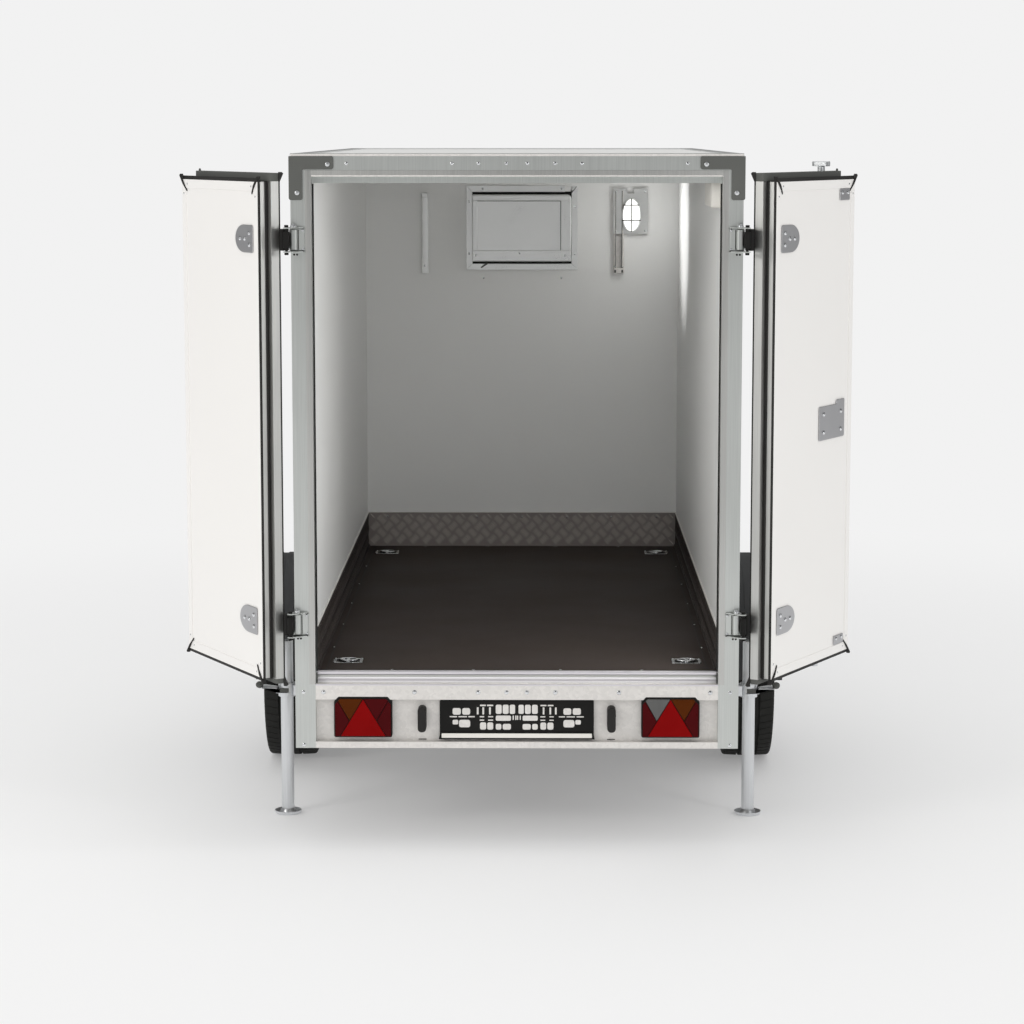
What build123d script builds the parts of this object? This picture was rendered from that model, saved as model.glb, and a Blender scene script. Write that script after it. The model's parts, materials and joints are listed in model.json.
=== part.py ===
from build123d import *
import os
from math import cos, hypot, pi, sin

# Small refrigerated box trailer: one axle, insulated body, two rear doors standing open.
# Lengths are millimetres. X is to the right as seen from behind, Y runs forward to the
# drawbar and Z is up. Pieces are drawn from the rear face of the body (Y = 0) and from
# the ground (Z = 0), and place() moves them so that the origin is under the middle.

# ---- driving dimensions: insulated body -----------------------------------------------
BODY_HALF = 758.0        # half the width across the rear posts
OPENING_HALF = 688.5     # half the width of the rear opening and of the hold
WALL = 60.0              # side walls, front wall, roof and floor
HOLD_LENGTH = 3025.0     # rear face to the inside of the front wall
FLOOR_TOP = 598.0
FLOOR_BOARD = 15.0
KICK_HEIGHT = 150.0      # chequer-plate skirting inside
KICK_SHEET = 3.0
ROOF_TOP = 2363.0
LINTEL_BOTTOM = 2286.0
FRAME_DEPTH = 60.0       # rear posts and lintel, along Y
LEDGE = 560.0            # top of the rear crossmember, in front of the sill
STOP_Y = 40.0            # set-back face of the sill and of the strip under the lintel
STOP_BOTTOM = 2264.0     # lower edge of that strip
SILL_BACK = 62.0
CHASSIS_BOTTOM = 338.0   # underside of posts and rear crossmember
PROFILE = 3.5            # aluminium edge profiles on the outside
ROOF_EDGE = 4.0          # height of the roof profiles above the roof skin

WALL_HALF = OPENING_HALF + WALL
FLOOR_BOTTOM = FLOOR_TOP - WALL
BODY_FRONT = HOLD_LENGTH + WALL
CEILING = ROOF_TOP - WALL
BOARD_BOTTOM = FLOOR_TOP - FLOOR_BOARD

# ---- chassis and drawbar --------------------------------------------------------------
RAIL_HEIGHT = 120.0
RAIL_WIDTH = 60.0
STEEL = 5.0
RAIL_OUTER = WALL_HALF
RAIL_BOTTOM = FLOOR_BOTTOM - RAIL_HEIGHT
CROSSMEMBERS = (560.0, 1080.0, 2060.0, 2560.0, 3040.0)
PANEL_Y = 30.0           # set-back panel that carries the lamps
DRAWBAR_START = (655.0, 2020.0)
DRAWBAR_END = (62.0, 3900.0)
DRAWBAR_HEIGHT = 80.0
DRAWBAR_WIDTH = 50.0
DRAWBAR_Z = RAIL_BOTTOM - DRAWBAR_HEIGHT / 2
COUPLING_FRONT = 4385.0
BALL_RADIUS = 25.0
HEAD_RADIUS = 38.0

# ---- axle and wheels ------------------------------------------------------------------
AXLE_Y = 1460.0
TYRE_RADIUS = 325.0
TYRE_WIDTH = 185.0
TRACK_HALF = 886.5
BEAD_RADIUS = 178.0
TYRE_SIDES = 68          # flats round a tyre
STUD_CIRCLE = 56.0
STUDS = 5
SPINDLE_RADIUS = 15.0
RUNNING = 0.05           # radial clearance of shafts that turn
BEAM_Y = AXLE_Y + 150.0
BEAM_SIDE = 70.0
BEAM_Z = RAIL_BOTTOM - 6.0 - BEAM_SIDE / 2

# ---- rear doors, drawn closed on the right --------------------------------------------
OPEN_ANGLE = 241.2       # as the doors stand
HINGE_X = 769.5
HINGE_Y = -34.0
HINGE_HEIGHTS = (769.0, 2076.0)
KNUCKLE_RADIUS = 10.0
HINGE_PIN = 5.0
STRAP_HALF = 27.0        # half the height of the moving strap
LEAF_HALF = 40.0         # half the height of the fixed leaf
DOOR_OUTER_Y = -39.0
DOOR_EDGE = 710.0        # hinge side of the door's outer flange
DOOR_GAP = 4.0           # free side of the flange, from the centre
DOOR_BOTTOM = 560.0
DOOR_TOP = 2298.0
PLUG = (8.0, 680.0, 577.0, 2268.0)     # the part that enters the opening: x0, x1, z0, z1
STACK = (6.0, 28.0, 10.0, 16.0, 10.0)  # edge bands from the outer skin inwards
RIM_BAND = 30.0          # aluminium round the door's panel
EDGE_STRIP = 8.0         # rubber round the flange, and depth of the lips' seats
LIP = 3.0                # how far the lips stand out of their seats at the sides
LIP_Z = (565.0, 2281.0)  # the inner lip's lower and upper edge
CAPS = (17.0, 28.0)      # height of the dark caps under and over the flange

# ---- prop stands and jockey wheel -----------------------------------------------------
LEG_X = 827.0
LEG_Y = 450.0
LEG_RADIUS = 22.5
LEG_TOP = 632.0
LEG_FOOT = 48.0
CLAMP_Z = 455.0
JACK_X = -128.0
JACK_Y = 4010.0
JACK_RADIUS = 24.0
JACK_BOTTOM = 262.0
JACK_TOP = 560.0
SLIDE_GAP = 0.3
SPIGOT = 10.0            # radius of the castor's spigot
JOCKEY_RADIUS = 100.0
JOCKEY_TRAIL = 48.0
JOCKEY_AXLE = 7.0
JOCKEY_SIDES = 36

REAR_REACH = HINGE_Y - KNUCKLE_RADIUS
Y_MID = (REAR_REACH + COUPLING_FRONT) / 2


# ---- helpers --------------------------------------------------------------------------
def box(x0, x1, y0, y1, z0, z1):
    """A block between two corners."""
    middle = Pos((x0 + x1) / 2, (y0 + y1) / 2, (z0 + z1) / 2)
    return middle * Box(x1 - x0, y1 - y0, z1 - z0)


def rod(start, end, radius):
    """A round bar between two points."""
    a, b = Vector(*start), Vector(*end)
    length = (b - a).length
    return Plane(origin=a, z_dir=b - a) * Pos(0, 0, length / 2) * Cylinder(radius, length)


def upright(x, y, z0, z1, radius):
    """A round bar standing at x, y."""
    return rod((x, y, z0), (x, y, z1), radius)


def bar_x(x0, x1, y, z, radius):
    """A round bar lying along X."""
    return rod((x0, y, z), (x1, y, z), radius)


def ring_xz(x0, x1, z0, z1, width, y0, y1):
    """A rectangular ring in the XZ plane, width being the breadth of its members."""
    inner = box(x0 + width, x1 - width, y0 - 1, y1 + 1, z0 + width, z1 - width)
    return box(x0, x1, y0, y1, z0, z1) - inner


def other_side(shape):
    """The same shape on the left of the trailer."""
    return mirror(shape, about=Plane.YZ)


def both(shape):
    """A piece and its left-hand twin, as one list of solids."""
    return shape.solids() + other_side(shape).solids()


def turned(points):
    """A solid of revolution about X: points are (x, radius), in either sense."""
    loops = zip(points, points[1:] + points[:1])
    area = sum(a[0] * b[1] - b[0] * a[1] for a, b in loops)
    ordered = points if area > 0 else points[::-1]
    return revolve(make_face(Polyline(*ordered, close=True)), Axis.X)


def faceted(points, sides):
    """A closed ring about X with flat sides and a corner straight down: points are (x, radius)."""
    def corner(point, k):
        x, radius = point
        turn = 2 * pi * k / sides
        return Vector(x, radius * sin(turn), -radius * cos(turn))

    faces = []
    for a, b in zip(points, points[1:] + points[:1]):
        for k in range(sides):
            quad = (corner(a, k), corner(b, k), corner(b, k + 1), corner(a, k + 1))
            faces.append(Face(Wire.make_polygon(quad)))
    return Solid(Shell(faces))


def on_axle(shape, side):
    """Sets a wheel piece, drawn for the right side about X, at its place on the axle."""
    whole = shape if side > 0 else other_side(shape)
    return Pos(side * TRACK_HALF, AXLE_Y, TYRE_RADIUS) * whole


def place(shape):
    """Moves a piece from the drawing's rear-face origin to the part's own origin."""
    return Pos(0, -Y_MID, 0) * shape


def swing(shape):
    """Turns the closed right-hand door to where it stands open."""
    return Pos(HINGE_X, HINGE_Y, 0) * Rot(0, 0, OPEN_ANGLE) * Pos(-HINGE_X, -HINGE_Y, 0) * shape


# ---- chassis --------------------------------------------------------------------------
def c_rail(x_outer, y0, y1):
    """One longitudinal channel, open towards the middle of the trailer."""
    outer = box(x_outer - RAIL_WIDTH, x_outer, y0, y1, RAIL_BOTTOM, FLOOR_BOTTOM)
    inner = box(x_outer - RAIL_WIDTH - 1, x_outer - STEEL, y0 - 1, y1 + 1,
                RAIL_BOTTOM + STEEL, FLOOR_BOTTOM - STEEL)
    return outer - inner


def chassis_rails():
    return both(c_rail(RAIL_OUTER, FRAME_DEPTH, BODY_FRONT))


def chassis_crossmembers():
    """Channels between the two rails, open to the rear."""
    half = RAIL_OUTER - RAIL_WIDTH
    deep = 25.0
    members = []
    for y in CROSSMEMBERS:
        outer = box(-half, half, y - deep, y + deep, RAIL_BOTTOM, FLOOR_BOTTOM)
        inner = box(-half - 1, half + 1, y - deep - 1, y + deep - STEEL, RAIL_BOTTOM + STEEL,
                    FLOOR_BOTTOM - STEEL)
        members += (outer - inner).solids()
    return members


def rear_crossmember():
    """Galvanised beam with a set-back panel that carries the lamps."""
    half = OPENING_HALF
    beam_low, panel_sheet, foot_high = 507.0, 4.0, 22.0
    back = PANEL_Y + panel_sheet
    top = box(-half, half, 0, SILL_BACK, beam_low, LEDGE)
    panel = box(-half, half, PANEL_Y, back, CHASSIS_BOTTOM + foot_high - 2, beam_low + 3)
    foot = box(-half, half, 0, FRAME_DEPTH, CHASSIS_BOTTOM, CHASSIS_BOTTOM + foot_high)
    sunk = box(-half - 1, half + 1, back, FRAME_DEPTH + 1, CHASSIS_BOTTOM + STEEL,
               CHASSIS_BOTTOM + foot_high - 6)
    return top + panel + foot - sunk


def axle():
    """Rubber-sprung axle: beam, mounting plates, trailing arms, backplates and spindles."""
    beam_half, arm_out, boss_out, plate_out, spindle_out = 752.0, 784.0, 812.0, 817.0, 900.0
    seat_in, seat_half = 692.0, 90.0
    pivot_radius, arm_end, boss_radius, backplate_radius = 42.0, 34.0, 26.0, 124.0
    arm_deep = 60.0
    half = BEAM_SIDE / 2
    wheel, pivot = (AXLE_Y, TYRE_RADIUS), (BEAM_Y, BEAM_Z)
    fall = (pivot[0] - wheel[0], pivot[1] - wheel[1])
    beam = box(-beam_half, beam_half, BEAM_Y - half, BEAM_Y + half, BEAM_Z - half, BEAM_Z + half)
    for side in (-1, 1):
        inner, outer = sorted((side * seat_in, side * RAIL_OUTER))
        beam += box(inner, outer, BEAM_Y - seat_half, BEAM_Y + seat_half, BEAM_Z + half, RAIL_BOTTOM)
        beam += bar_x(side * beam_half, side * arm_out, *pivot, pivot_radius)
        beam += bar_x(side * beam_half, side * arm_out, *wheel, arm_end)
        middle = side * (beam_half + arm_out) / 2
        web = Plane(origin=(middle, *wheel), x_dir=(1, 0, 0), z_dir=(0, *fall))
        beam += web * Pos(0, 0, hypot(*fall) / 2) * Box(arm_out - beam_half, arm_deep, hypot(*fall))
        beam += bar_x(side * arm_out, side * boss_out, *wheel, boss_radius)
        beam += bar_x(side * boss_out, side * plate_out, *wheel, backplate_radius)
        beam += bar_x(side * plate_out, side * spindle_out, *wheel, SPINDLE_RADIUS)
    return beam


def drawbar_beam():
    """Right-hand leg of the V drawbar: square-ended tube bolted up under the chassis."""
    (x0, y0), (x1, y1) = DRAWBAR_START, DRAWBAR_END
    length = hypot(x1 - x0, y1 - y0)
    line = Plane(origin=(x0, y0, DRAWBAR_Z), x_dir=(0, 0, 1), z_dir=(x1 - x0, y1 - y0, 0))
    tube = line * Pos(0, 0, length / 2) * Box(DRAWBAR_HEIGHT, DRAWBAR_WIDTH, length)
    hollow = Box(DRAWBAR_HEIGHT - 2 * STEEL, DRAWBAR_WIDTH - 2 * STEEL, length + 2)
    return tube - line * Pos(0, 0, length / 2) * hollow


def coupling():
    """Overrun coupling: housing, sliding tube with bellows, ball head and brake lever."""
    z = DRAWBAR_Z
    shaft_z = z + 12
    rear, front, half = 3790.0, 4120.0, 34.0
    plate_half, plate_top = 92.0, RAIL_BOTTOM + 8
    housing = box(-half, half, rear, front, z - 36, z + 46)
    housing += box(-plate_half, plate_half, 3800, 3890, RAIL_BOTTOM, plate_top)
    for x in (-66, 66):
        for y in (3822.0, 3868.0):
            housing += upright(x, y, plate_top, plate_top + 10, 10)
    folds, pitch, fold, neck = 7, 12.0, 38.0, 30.0
    for i in range(folds):
        y = front + pitch * i
        housing += rod((0, y, shaft_z), (0, y + pitch - 4, shaft_z), fold)
        housing += rod((0, y + pitch - 4, shaft_z), (0, y + pitch, shaft_z), neck)
    shaft = rod((0, front + 70, shaft_z), (0, front + 170, shaft_z), 25)
    head_y = COUPLING_FRONT - HEAD_RADIUS
    head = Pos(0, head_y, z + 6) * Cylinder(HEAD_RADIUS, 62)
    head += box(-30, 30, front + 120, head_y, z - 8, z + 36)
    head -= Pos(0, head_y, z - 26) * Cylinder(BALL_RADIUS, 60)
    head += box(-9, 9, front + 110, head_y - 17, z + 36, z + 52)
    grip = rod((0, front + 116, z + 48), (0, front + 48, z + 74), 9)
    lever_x, lever_y, knee, end = 43.0, 3975.0, (4120.0, z + 300), (4165.0, z + 380)
    lever = box(lever_x - 7, lever_x + 7, lever_y - 45, lever_y + 35, z - 20, z + 62)
    lever += box(half - 4, lever_x - 3, lever_y - 35, lever_y + 25, z - 20, z + 30)
    lever += rod((lever_x, lever_y, z + 45), (lever_x, *knee), 9)
    lever += rod((lever_x, knee[0] - 2, knee[1] - 4), (lever_x, *end), 14)
    return housing + shaft + head + grip + lever


def jack_sleeve():
    """Clamp on the drawbar and the outer tube of the jockey wheel's jack."""
    x, y = JACK_X, JACK_Y
    low, top, cap_top, cap_radius = 345.0, 800.0, 830.0, 36.0
    clamp_low, clamp_high = DRAWBAR_Z - 22, DRAWBAR_Z + 34
    tube = upright(x, y, low, top, JACK_RADIUS + 6) + upright(x, y, top, cap_top, cap_radius)
    tube -= upright(x, y, low - 45, top - 30, JACK_RADIUS + SLIDE_GAP)
    clamp = box(x + 20, -34, y - 28, y + 28, clamp_low, clamp_high)
    clamp += upright(x, y, clamp_low, clamp_high, JACK_RADIUS + 12)
    clamp -= upright(x, y, clamp_low - 8, clamp_high + 6, JACK_RADIUS + SLIDE_GAP)
    crank_z, throw, handle = cap_top + 12, 118.0, 50.0
    crank = upright(x, y, cap_top, cap_top + 18, 10)
    crank += bar_x(x - throw, x, y, crank_z, 7)
    crank += upright(x - throw + 6, y, crank_z, crank_z + handle, 12)
    return tube + clamp + crank


# ---- insulated body -------------------------------------------------------------------
def rear_frame():
    """Welded door frame: two posts down to the chassis, a lintel, and the stop under it."""
    half = OPENING_HALF
    post = box(half, BODY_HALF, 0, FRAME_DEPTH, CHASSIS_BOTTOM, ROOF_TOP)
    lintel = box(-half, half, 0, FRAME_DEPTH, LINTEL_BOTTOM, ROOF_TOP)
    lintel += box(-half, half, STOP_Y, FRAME_DEPTH, STOP_BOTTOM, LINTEL_BOTTOM)
    return post + other_side(post) + lintel


def corner_brackets():
    """Dark L-shaped plates over the frame's upper corners."""
    outer, top, thick = BODY_HALF + 5, ROOF_TOP - 9, 5.0
    arm_in, arm_low, upright_in, upright_low = 613.0, 2310.0, 717.0, 2208.0
    plate = box(upright_in, outer, -thick, 0, upright_low, top)
    return both(plate + box(arm_in, outer, -thick, 0, arm_low, top))


def sill():
    """Ridged aluminium threshold, set back behind the closed doors."""
    half = OPENING_HALF
    tread = box(-half, half, STOP_Y, SILL_BACK, LEDGE, FLOOR_TOP)
    for y in (STOP_Y + 5, STOP_Y + 13):
        tread -= box(-half - 1, half + 1, y, y + 4, FLOOR_TOP - 2, FLOOR_TOP + 1)
    waist, nose = FLOOR_TOP - 21, FLOOR_TOP - 11
    tread -= box(-half - 1, half + 1, STOP_Y - 1, STOP_Y + 3, waist, nose)
    return tread


def side_wall():
    """Right-hand sandwich wall, standing on the chassis rail."""
    return box(OPENING_HALF, WALL_HALF, FRAME_DEPTH, BODY_FRONT, FLOOR_BOTTOM, CEILING)


def front_wall():
    return box(-OPENING_HALF, OPENING_HALF, HOLD_LENGTH, BODY_FRONT, FLOOR_BOTTOM, CEILING)


def roof():
    return box(-WALL_HALF, WALL_HALF, FRAME_DEPTH, BODY_FRONT, CEILING, ROOF_TOP - ROOF_EDGE)


def lashing_points():
    """Where the four lashing rings lie in the floor."""
    near, far = 235.0, HOLD_LENGTH - 206.0
    return [(x, y) for x in (-592.0, 592.0) for y in (near, far)]


PAN_FLANGE = (53.0, 43.0)   # half-lengths of a lashing pan's flange and of its well
PAN_WELL = (45.5, 35.5)
PAN_DEPTH = 11.5


def pocket(x, y, half, gap, depth):
    """A rectangular recess in the floor round a lashing point."""
    wide, long = half[0] + gap, half[1] + gap
    return box(x - wide, x + wide, y - long, y + long, FLOOR_TOP - depth, FLOOR_TOP + 1)


def floor():
    """Insulated floor: a board on the foam slab, with a pocket for each lashing ring."""
    slab = box(-OPENING_HALF, OPENING_HALF, SILL_BACK, HOLD_LENGTH, FLOOR_BOTTOM, BOARD_BOTTOM)
    edge = OPENING_HALF - KICK_SHEET - 0.5
    end = HOLD_LENGTH - KICK_SHEET - 0.5
    slab += box(-edge, edge, SILL_BACK, end, BOARD_BOTTOM, FLOOR_TOP)
    for x, y in lashing_points():
        slab -= pocket(x, y, PAN_FLANGE, 0.5, 2)
        slab -= pocket(x, y, PAN_WELL, 0.5, PAN_DEPTH + 0.5)
    return slab


def tie_downs():
    """Recessed pans with a swivelling ring laid flat in each."""
    (wide, long), (well_x, well_y) = PAN_FLANGE, PAN_WELL
    sheet, ring_out, ring_in = 3.5, 26.0, 18.0
    rings = []
    for x, y in lashing_points():
        pan = box(x - wide, x + wide, y - long, y + long, FLOOR_TOP - 2, FLOOR_TOP)
        pan += box(x - well_x, x + well_x, y - well_y, y + well_y, FLOOR_TOP - PAN_DEPTH,
                   FLOOR_TOP - 1)
        pan -= pocket(x, y, (well_x - sheet, well_y - sheet), 0, PAN_DEPTH - 2.5)
        pan += Pos(x, y, FLOOR_TOP - 4.5) * (Cylinder(ring_out, 9) - Cylinder(ring_in, 10))
        pan += box(x - 43, x + 43, y - 6, y + 6, FLOOR_TOP - 10, FLOOR_TOP)
        rings += pan.solids()
    return rings


def kick_plates():
    """Chequer-plate skirting round the floor."""
    z0, z1 = BOARD_BOTTOM, FLOOR_TOP + KICK_HEIGHT
    half, end = OPENING_HALF, HOLD_LENGTH
    side = box(half - KICK_SHEET, half, SILL_BACK, end - KICK_SHEET - 1, z0, z1)
    front = box(-half + KICK_SHEET + 1, half - KICK_SHEET - 1, end - KICK_SHEET, end, z0, z1)
    return both(side) + front.solids()


def body_profiles():
    """Aluminium edge profiles: roof rails, front corner posts, front roof rail and skirts."""
    w, outer = WALL_HALF, WALL_HALF + PROFILE
    front, nose = BODY_FRONT, BODY_FRONT + PROFILE
    flange, rail_low, rail_end = 45.0, CEILING - 25, BODY_FRONT - 2
    skirt_low, skirt_high = FLOOR_BOTTOM - 28, FLOOR_TOP + 12
    corner_low, corner_high, corner_wide = skirt_high + 2, rail_low - 2, 55.0
    rail = box(w, outer, FRAME_DEPTH, rail_end, rail_low, ROOF_TOP)
    rail += box(w - flange, w, FRAME_DEPTH, rail_end, ROOF_TOP - ROOF_EDGE, ROOF_TOP)
    skirt = box(w, outer, FRAME_DEPTH, rail_end, skirt_low, skirt_high)
    corner = box(w, outer, front - corner_wide, nose, corner_low, corner_high)
    corner += box(w - corner_wide, outer, front, nose, corner_low, corner_high)
    front_rail = box(-outer, outer, front, nose, rail_low, ROOF_TOP)
    front_skirt = box(-outer, outer, front, nose, skirt_low, skirt_high)
    pieces = both(rail) + both(skirt) + both(corner)
    return pieces + front_rail.solids() + front_skirt.solids()


# ---- rear fittings --------------------------------------------------------------------
def tail_lamps():
    """Two multi-function lamps on the set-back panel."""
    x0, x1, z0, z1 = 427.0, 626.0, 379.0, 507.0
    body = box(x0, x1, 4, PANEL_Y, z0, z1)
    lens = box(x0 + 3, x1 - 3, -6, 4, z0 + 3, z1 - 3)
    lens = chamfer(lens.edges().filter_by(Axis.Z).group_by(Axis.Y)[0], 4)
    return both(body + lens)


def plate_holder():
    """Frame for the registration plate, with a raised strip along the bottom."""
    half, z0, z1 = 264.5, 373.0, 505.0
    face = PANEL_Y - 8
    back = box(-half, half, face, PANEL_Y, z0, z1)
    strip = box(-half, half, face - 8, face, z0, z0 + 22)
    upper = box(-half, half, face - 6, face, z1 - 6, z1)
    return back + strip + upper


def rubber_buffers():
    """Two upright rubber pads that stand out past the rear face."""
    block = box(310, 339, -22, PANEL_Y, 396, 490)
    block = fillet(block.edges().filter_by(Axis.Y), 11)
    return both(block)


def marker_lamps():
    """White front markers and amber side markers."""
    nose = BODY_FRONT + PROFILE
    lamps = both(box(640, 690, nose, nose + 20.5, 640, 700))
    for y in (900.0, 2350.0):
        lamps += both(box(RAIL_OUTER + 2, RAIL_OUTER + 20, y - 50, y + 50, 455, 495))
    return lamps


# ---- inside the hold ------------------------------------------------------------------
def unit_frame():
    """Mitred angle frame and air box of the cooling unit, on the inside of the front wall."""
    face = HOLD_LENGTH
    half, z0, z1, width, sheet = 246.0, 1830.0, 2200.0, 30.0, 6.0
    deep, sunk_deep = 58.0, 8.0
    box_half, panel_half = half - 29, half - 70
    frame = ring_xz(-half, half, z0, z1, width, face - sheet, face)
    air_box = box(-box_half, box_half, face - deep, face, z0 + 28, z1 - 28)
    sunk = box(-panel_half, panel_half, face - deep - 2, face - deep + sunk_deep, z0 + 66, z1 - 60)
    return frame + air_box - sunk


def wall_channels():
    """Two upright channels beside the air box."""
    face, low = HOLD_LENGTH, 1817.0
    left = box(-441, -416, face - 25, face, low + 3, 2168)
    x0, x1, deep, lip = 403.0, 449.0, 30.0, 8.0
    right = box(x0, x1, face - deep, face, low, 1985)
    right -= box(x0 + lip, x1 - lip, face - deep - 1, face - 4, low - 1, 1986)
    return left.solids() + right.solids()


def interior_lamp():
    """Oval bulkhead lamp with a wire guard, on a galvanised plate."""
    face, sheet = HOLD_LENGTH, 3.0
    x, z, wide, high = 481.0, 2072.0, 40.5, 73.5
    wire, wire_half = 2.5, 36.0
    plate_top, notch = 2188.0, 14.0
    plate = box(401, 553, face - sheet, face, 1989, plate_top)
    plate -= box(460, 490, face - 4, face + 1, plate_top - notch, plate_top + 1)
    plane = Plane(origin=(x, face - sheet, z), x_dir=(1, 0, 0), z_dir=(0, -1, 0))
    base = plane * extrude(Ellipse(wide, high), 18)
    glass = plane * Pos(0, 0, 18) * extrude(Ellipse(wide - 8.5, high - 9.5), 26, taper=12)
    front, back = face - 52, face - 19
    guard = box(x - wire, x + wire, front, front + 2 * wire, z - 68, z + 68)
    for end in (z - 68, z + 63):
        guard += box(x - wire, x + wire, front, back, end, end + 2 * wire)
    for level in (z - 24, z + 24):
        low, high = level - wire, level + wire
        guard += box(x - wire_half, x + wire_half, front, front + 2 * wire, low, high)
        for side in (x - wire_half, x + wire_half - 2 * wire):
            guard += box(side, side + 2 * wire, front, back, low, high)
    return plate + base + glass + guard


def wall_box():
    """Pale control box high on the right wall by the door."""
    deep, y0, y1, z0, z1 = 20.0, 100.0, 470.0, 2165.0, 2270.0
    block = box(OPENING_HALF - deep, OPENING_HALF, y0, y1, z0, z1)
    return fillet(block.edges().filter_by(Axis.X), 8)


# ---- cooling unit outside -------------------------------------------------------------
UNIT_HALF, UNIT_DEEP, UNIT_LOW, UNIT_HIGH = 420.0, 330.0, 1700.0, 2250.0
GRILLE_HALF, GRILLE_LOW, GRILLE_HIGH, GRILLE_DEEP = 350.0, 1790.0, 2160.0, 40.0


def fridge_housing():
    """Condenser housing on the front wall, open at the front behind its grille."""
    y0, y1 = BODY_FRONT, BODY_FRONT + UNIT_DEEP
    shell = box(-UNIT_HALF, UNIT_HALF, y0, y1, UNIT_LOW, UNIT_HIGH)
    edges = shell.edges().filter_by(Axis.X).group_by(Axis.Y)[-1]
    shell = fillet(edges, 55)
    shell -= box(-GRILLE_HALF, GRILLE_HALF, y1 - GRILLE_DEEP, y1 + 10, GRILLE_LOW, GRILLE_HIGH)
    return shell


def fridge_grille():
    """Louvred panel let into the front of the housing."""
    half, low, high = GRILLE_HALF - 1, GRILLE_LOW + 1, GRILLE_HIGH - 1
    y0 = BODY_FRONT + UNIT_DEEP - GRILLE_DEEP
    rim_wide, slats, pitch, slat = 24.0, 9, 36.0, 10.0
    grille = ring_xz(-half, half, low, high, rim_wide, y0, y0 + 36)
    grille += box(-half, half, y0, y0 + 6, low, high)
    for i in range(slats):
        z = low + 31 + pitch * i
        grille += box(-half + 23, half - 23, y0 + 6, y0 + 30, z, z + slat)
    return grille


# ---- wheels ---------------------------------------------------------------------------
def tyre(side):
    """Plain road tyre: beads, bulged side walls, rounded shoulders and a near-flat crown."""
    half = TYRE_WIDTH / 2
    r, b = TYRE_RADIUS, BEAD_RADIUS
    outer = [(-68, b), (-68, b + 14), (-half, b + 72), (-half + 6, r - 24), (-half + 26, r - 4)]
    inner = [(52, b), (half - 14, b + 70), (half - 26, r - 22)]
    outline = outer + [(0, r)] + [(-x, y) for x, y in outer[::-1]]
    outline += inner + [(-x, y) for x, y in inner[::-1]]
    return on_axle(faceted(outline, TYRE_SIDES), side)


def rim(side):
    """Pressed steel wheel: rim with drop centre, dished disc and hand holes."""
    b = BEAD_RADIUS
    shell = [(-76, b + 12), (-70, b + 12), (-68, b - 1), (-40, b - 1), (-28, b - 26), (20, b - 26),
             (36, b - 1), (68, b - 1), (70, b + 12), (76, b + 12), (76, b + 8), (72, b - 6),
             (38, b - 6), (24, b - 31), (-32, b - 31), (-44, b - 6), (-72, b - 6), (-76, b + 8)]
    disc = [(15, b - 27), (15, 140), (42, 112), (36, 88), (23, 78), (23, 32), (29, 32),
            (29, 74), (42, 84), (49, 112), (22, 142), (22, b - 27)]
    hand_holes, hole_circle, hole_radius, stud_hole = 10, 128.0, 13.0, 7.0
    wheel = turned(shell) + turned(disc)
    for i in range(hand_holes):
        wheel -= Rot(360 / hand_holes * i, 0, 0) * bar_x(5, 60, 0, hole_circle, hole_radius)
    for i in range(STUDS):
        wheel -= Rot(360 / STUDS * i, 0, 0) * bar_x(15, 40, 0, STUD_CIRCLE, stud_hole)
    return on_axle(wheel, side)


def hub(side):
    """Brake drum with hub, studs, nuts and dust cap."""
    bore = SPINDLE_RADIUS + RUNNING
    outline = [(-66, bore), (-66, 118), (-5, 118), (-5, 68), (23, 68), (23, 31), (50, 31),
               (56, 24), (56, 0), (20, 0), (20, bore)]
    stud, nut = 6.5, 11.0
    whole = turned(outline)
    for i in range(STUDS):
        pair = bar_x(20, 46, 0, STUD_CIRCLE, stud) + bar_x(29, 42, 0, STUD_CIRCLE, nut)
        whole += Rot(360 / STUDS * i, 0, 0) * pair
    return on_axle(whole, side)


def mudguard():
    """Right-hand plastic arch with inner and outer lips, stayed to the body."""
    centre_z, radius, skin = 400.0, 398.0, 4.0
    inner_lip, outer_lip = 30.0, 24.0
    x0, x1 = 765.0, 1000.0
    stay_y, stay_half, stay_z = 180.0, 20.0, (700.0, 752.0)
    plane = Plane(origin=(x0, AXLE_Y, centre_z), x_dir=(0, 1, 0), z_dir=(1, 0, 0))
    arch = extrude(Circle(radius) - Circle(radius - skin), x1 - x0)
    arch += extrude(Circle(radius) - Circle(radius - inner_lip), skin)
    arch += Pos(0, 0, x1 - x0 - skin) * extrude(Circle(radius) - Circle(radius - outer_lip), skin)
    arch = plane * arch
    arch &= box(x0 - 1, x1 + 1, AXLE_Y - 500, AXLE_Y + 500, centre_z - 30, centre_z + 500)
    for y in (AXLE_Y - stay_y, AXLE_Y + stay_y):
        arch += box(WALL_HALF, x0 + 1, y - stay_half, y + stay_half, *stay_z)
    return arch


# ---- doors ----------------------------------------------------------------------------
def door_levels():
    """Y of each face of the closed door's edge bands, from the outer skin inwards."""
    levels = [DOOR_OUTER_Y]
    for band in STACK:
        levels.append(levels[-1] + band)
    return levels


def door_panel():
    """Sandwich panel inside the edge frame."""
    x0, x1, z0, z1 = PLUG
    lv = door_levels()
    return box(x0 + RIM_BAND, x1 - RIM_BAND, lv[0], lv[5] - 1, z0 + RIM_BAND, z1 - RIM_BAND)


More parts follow.
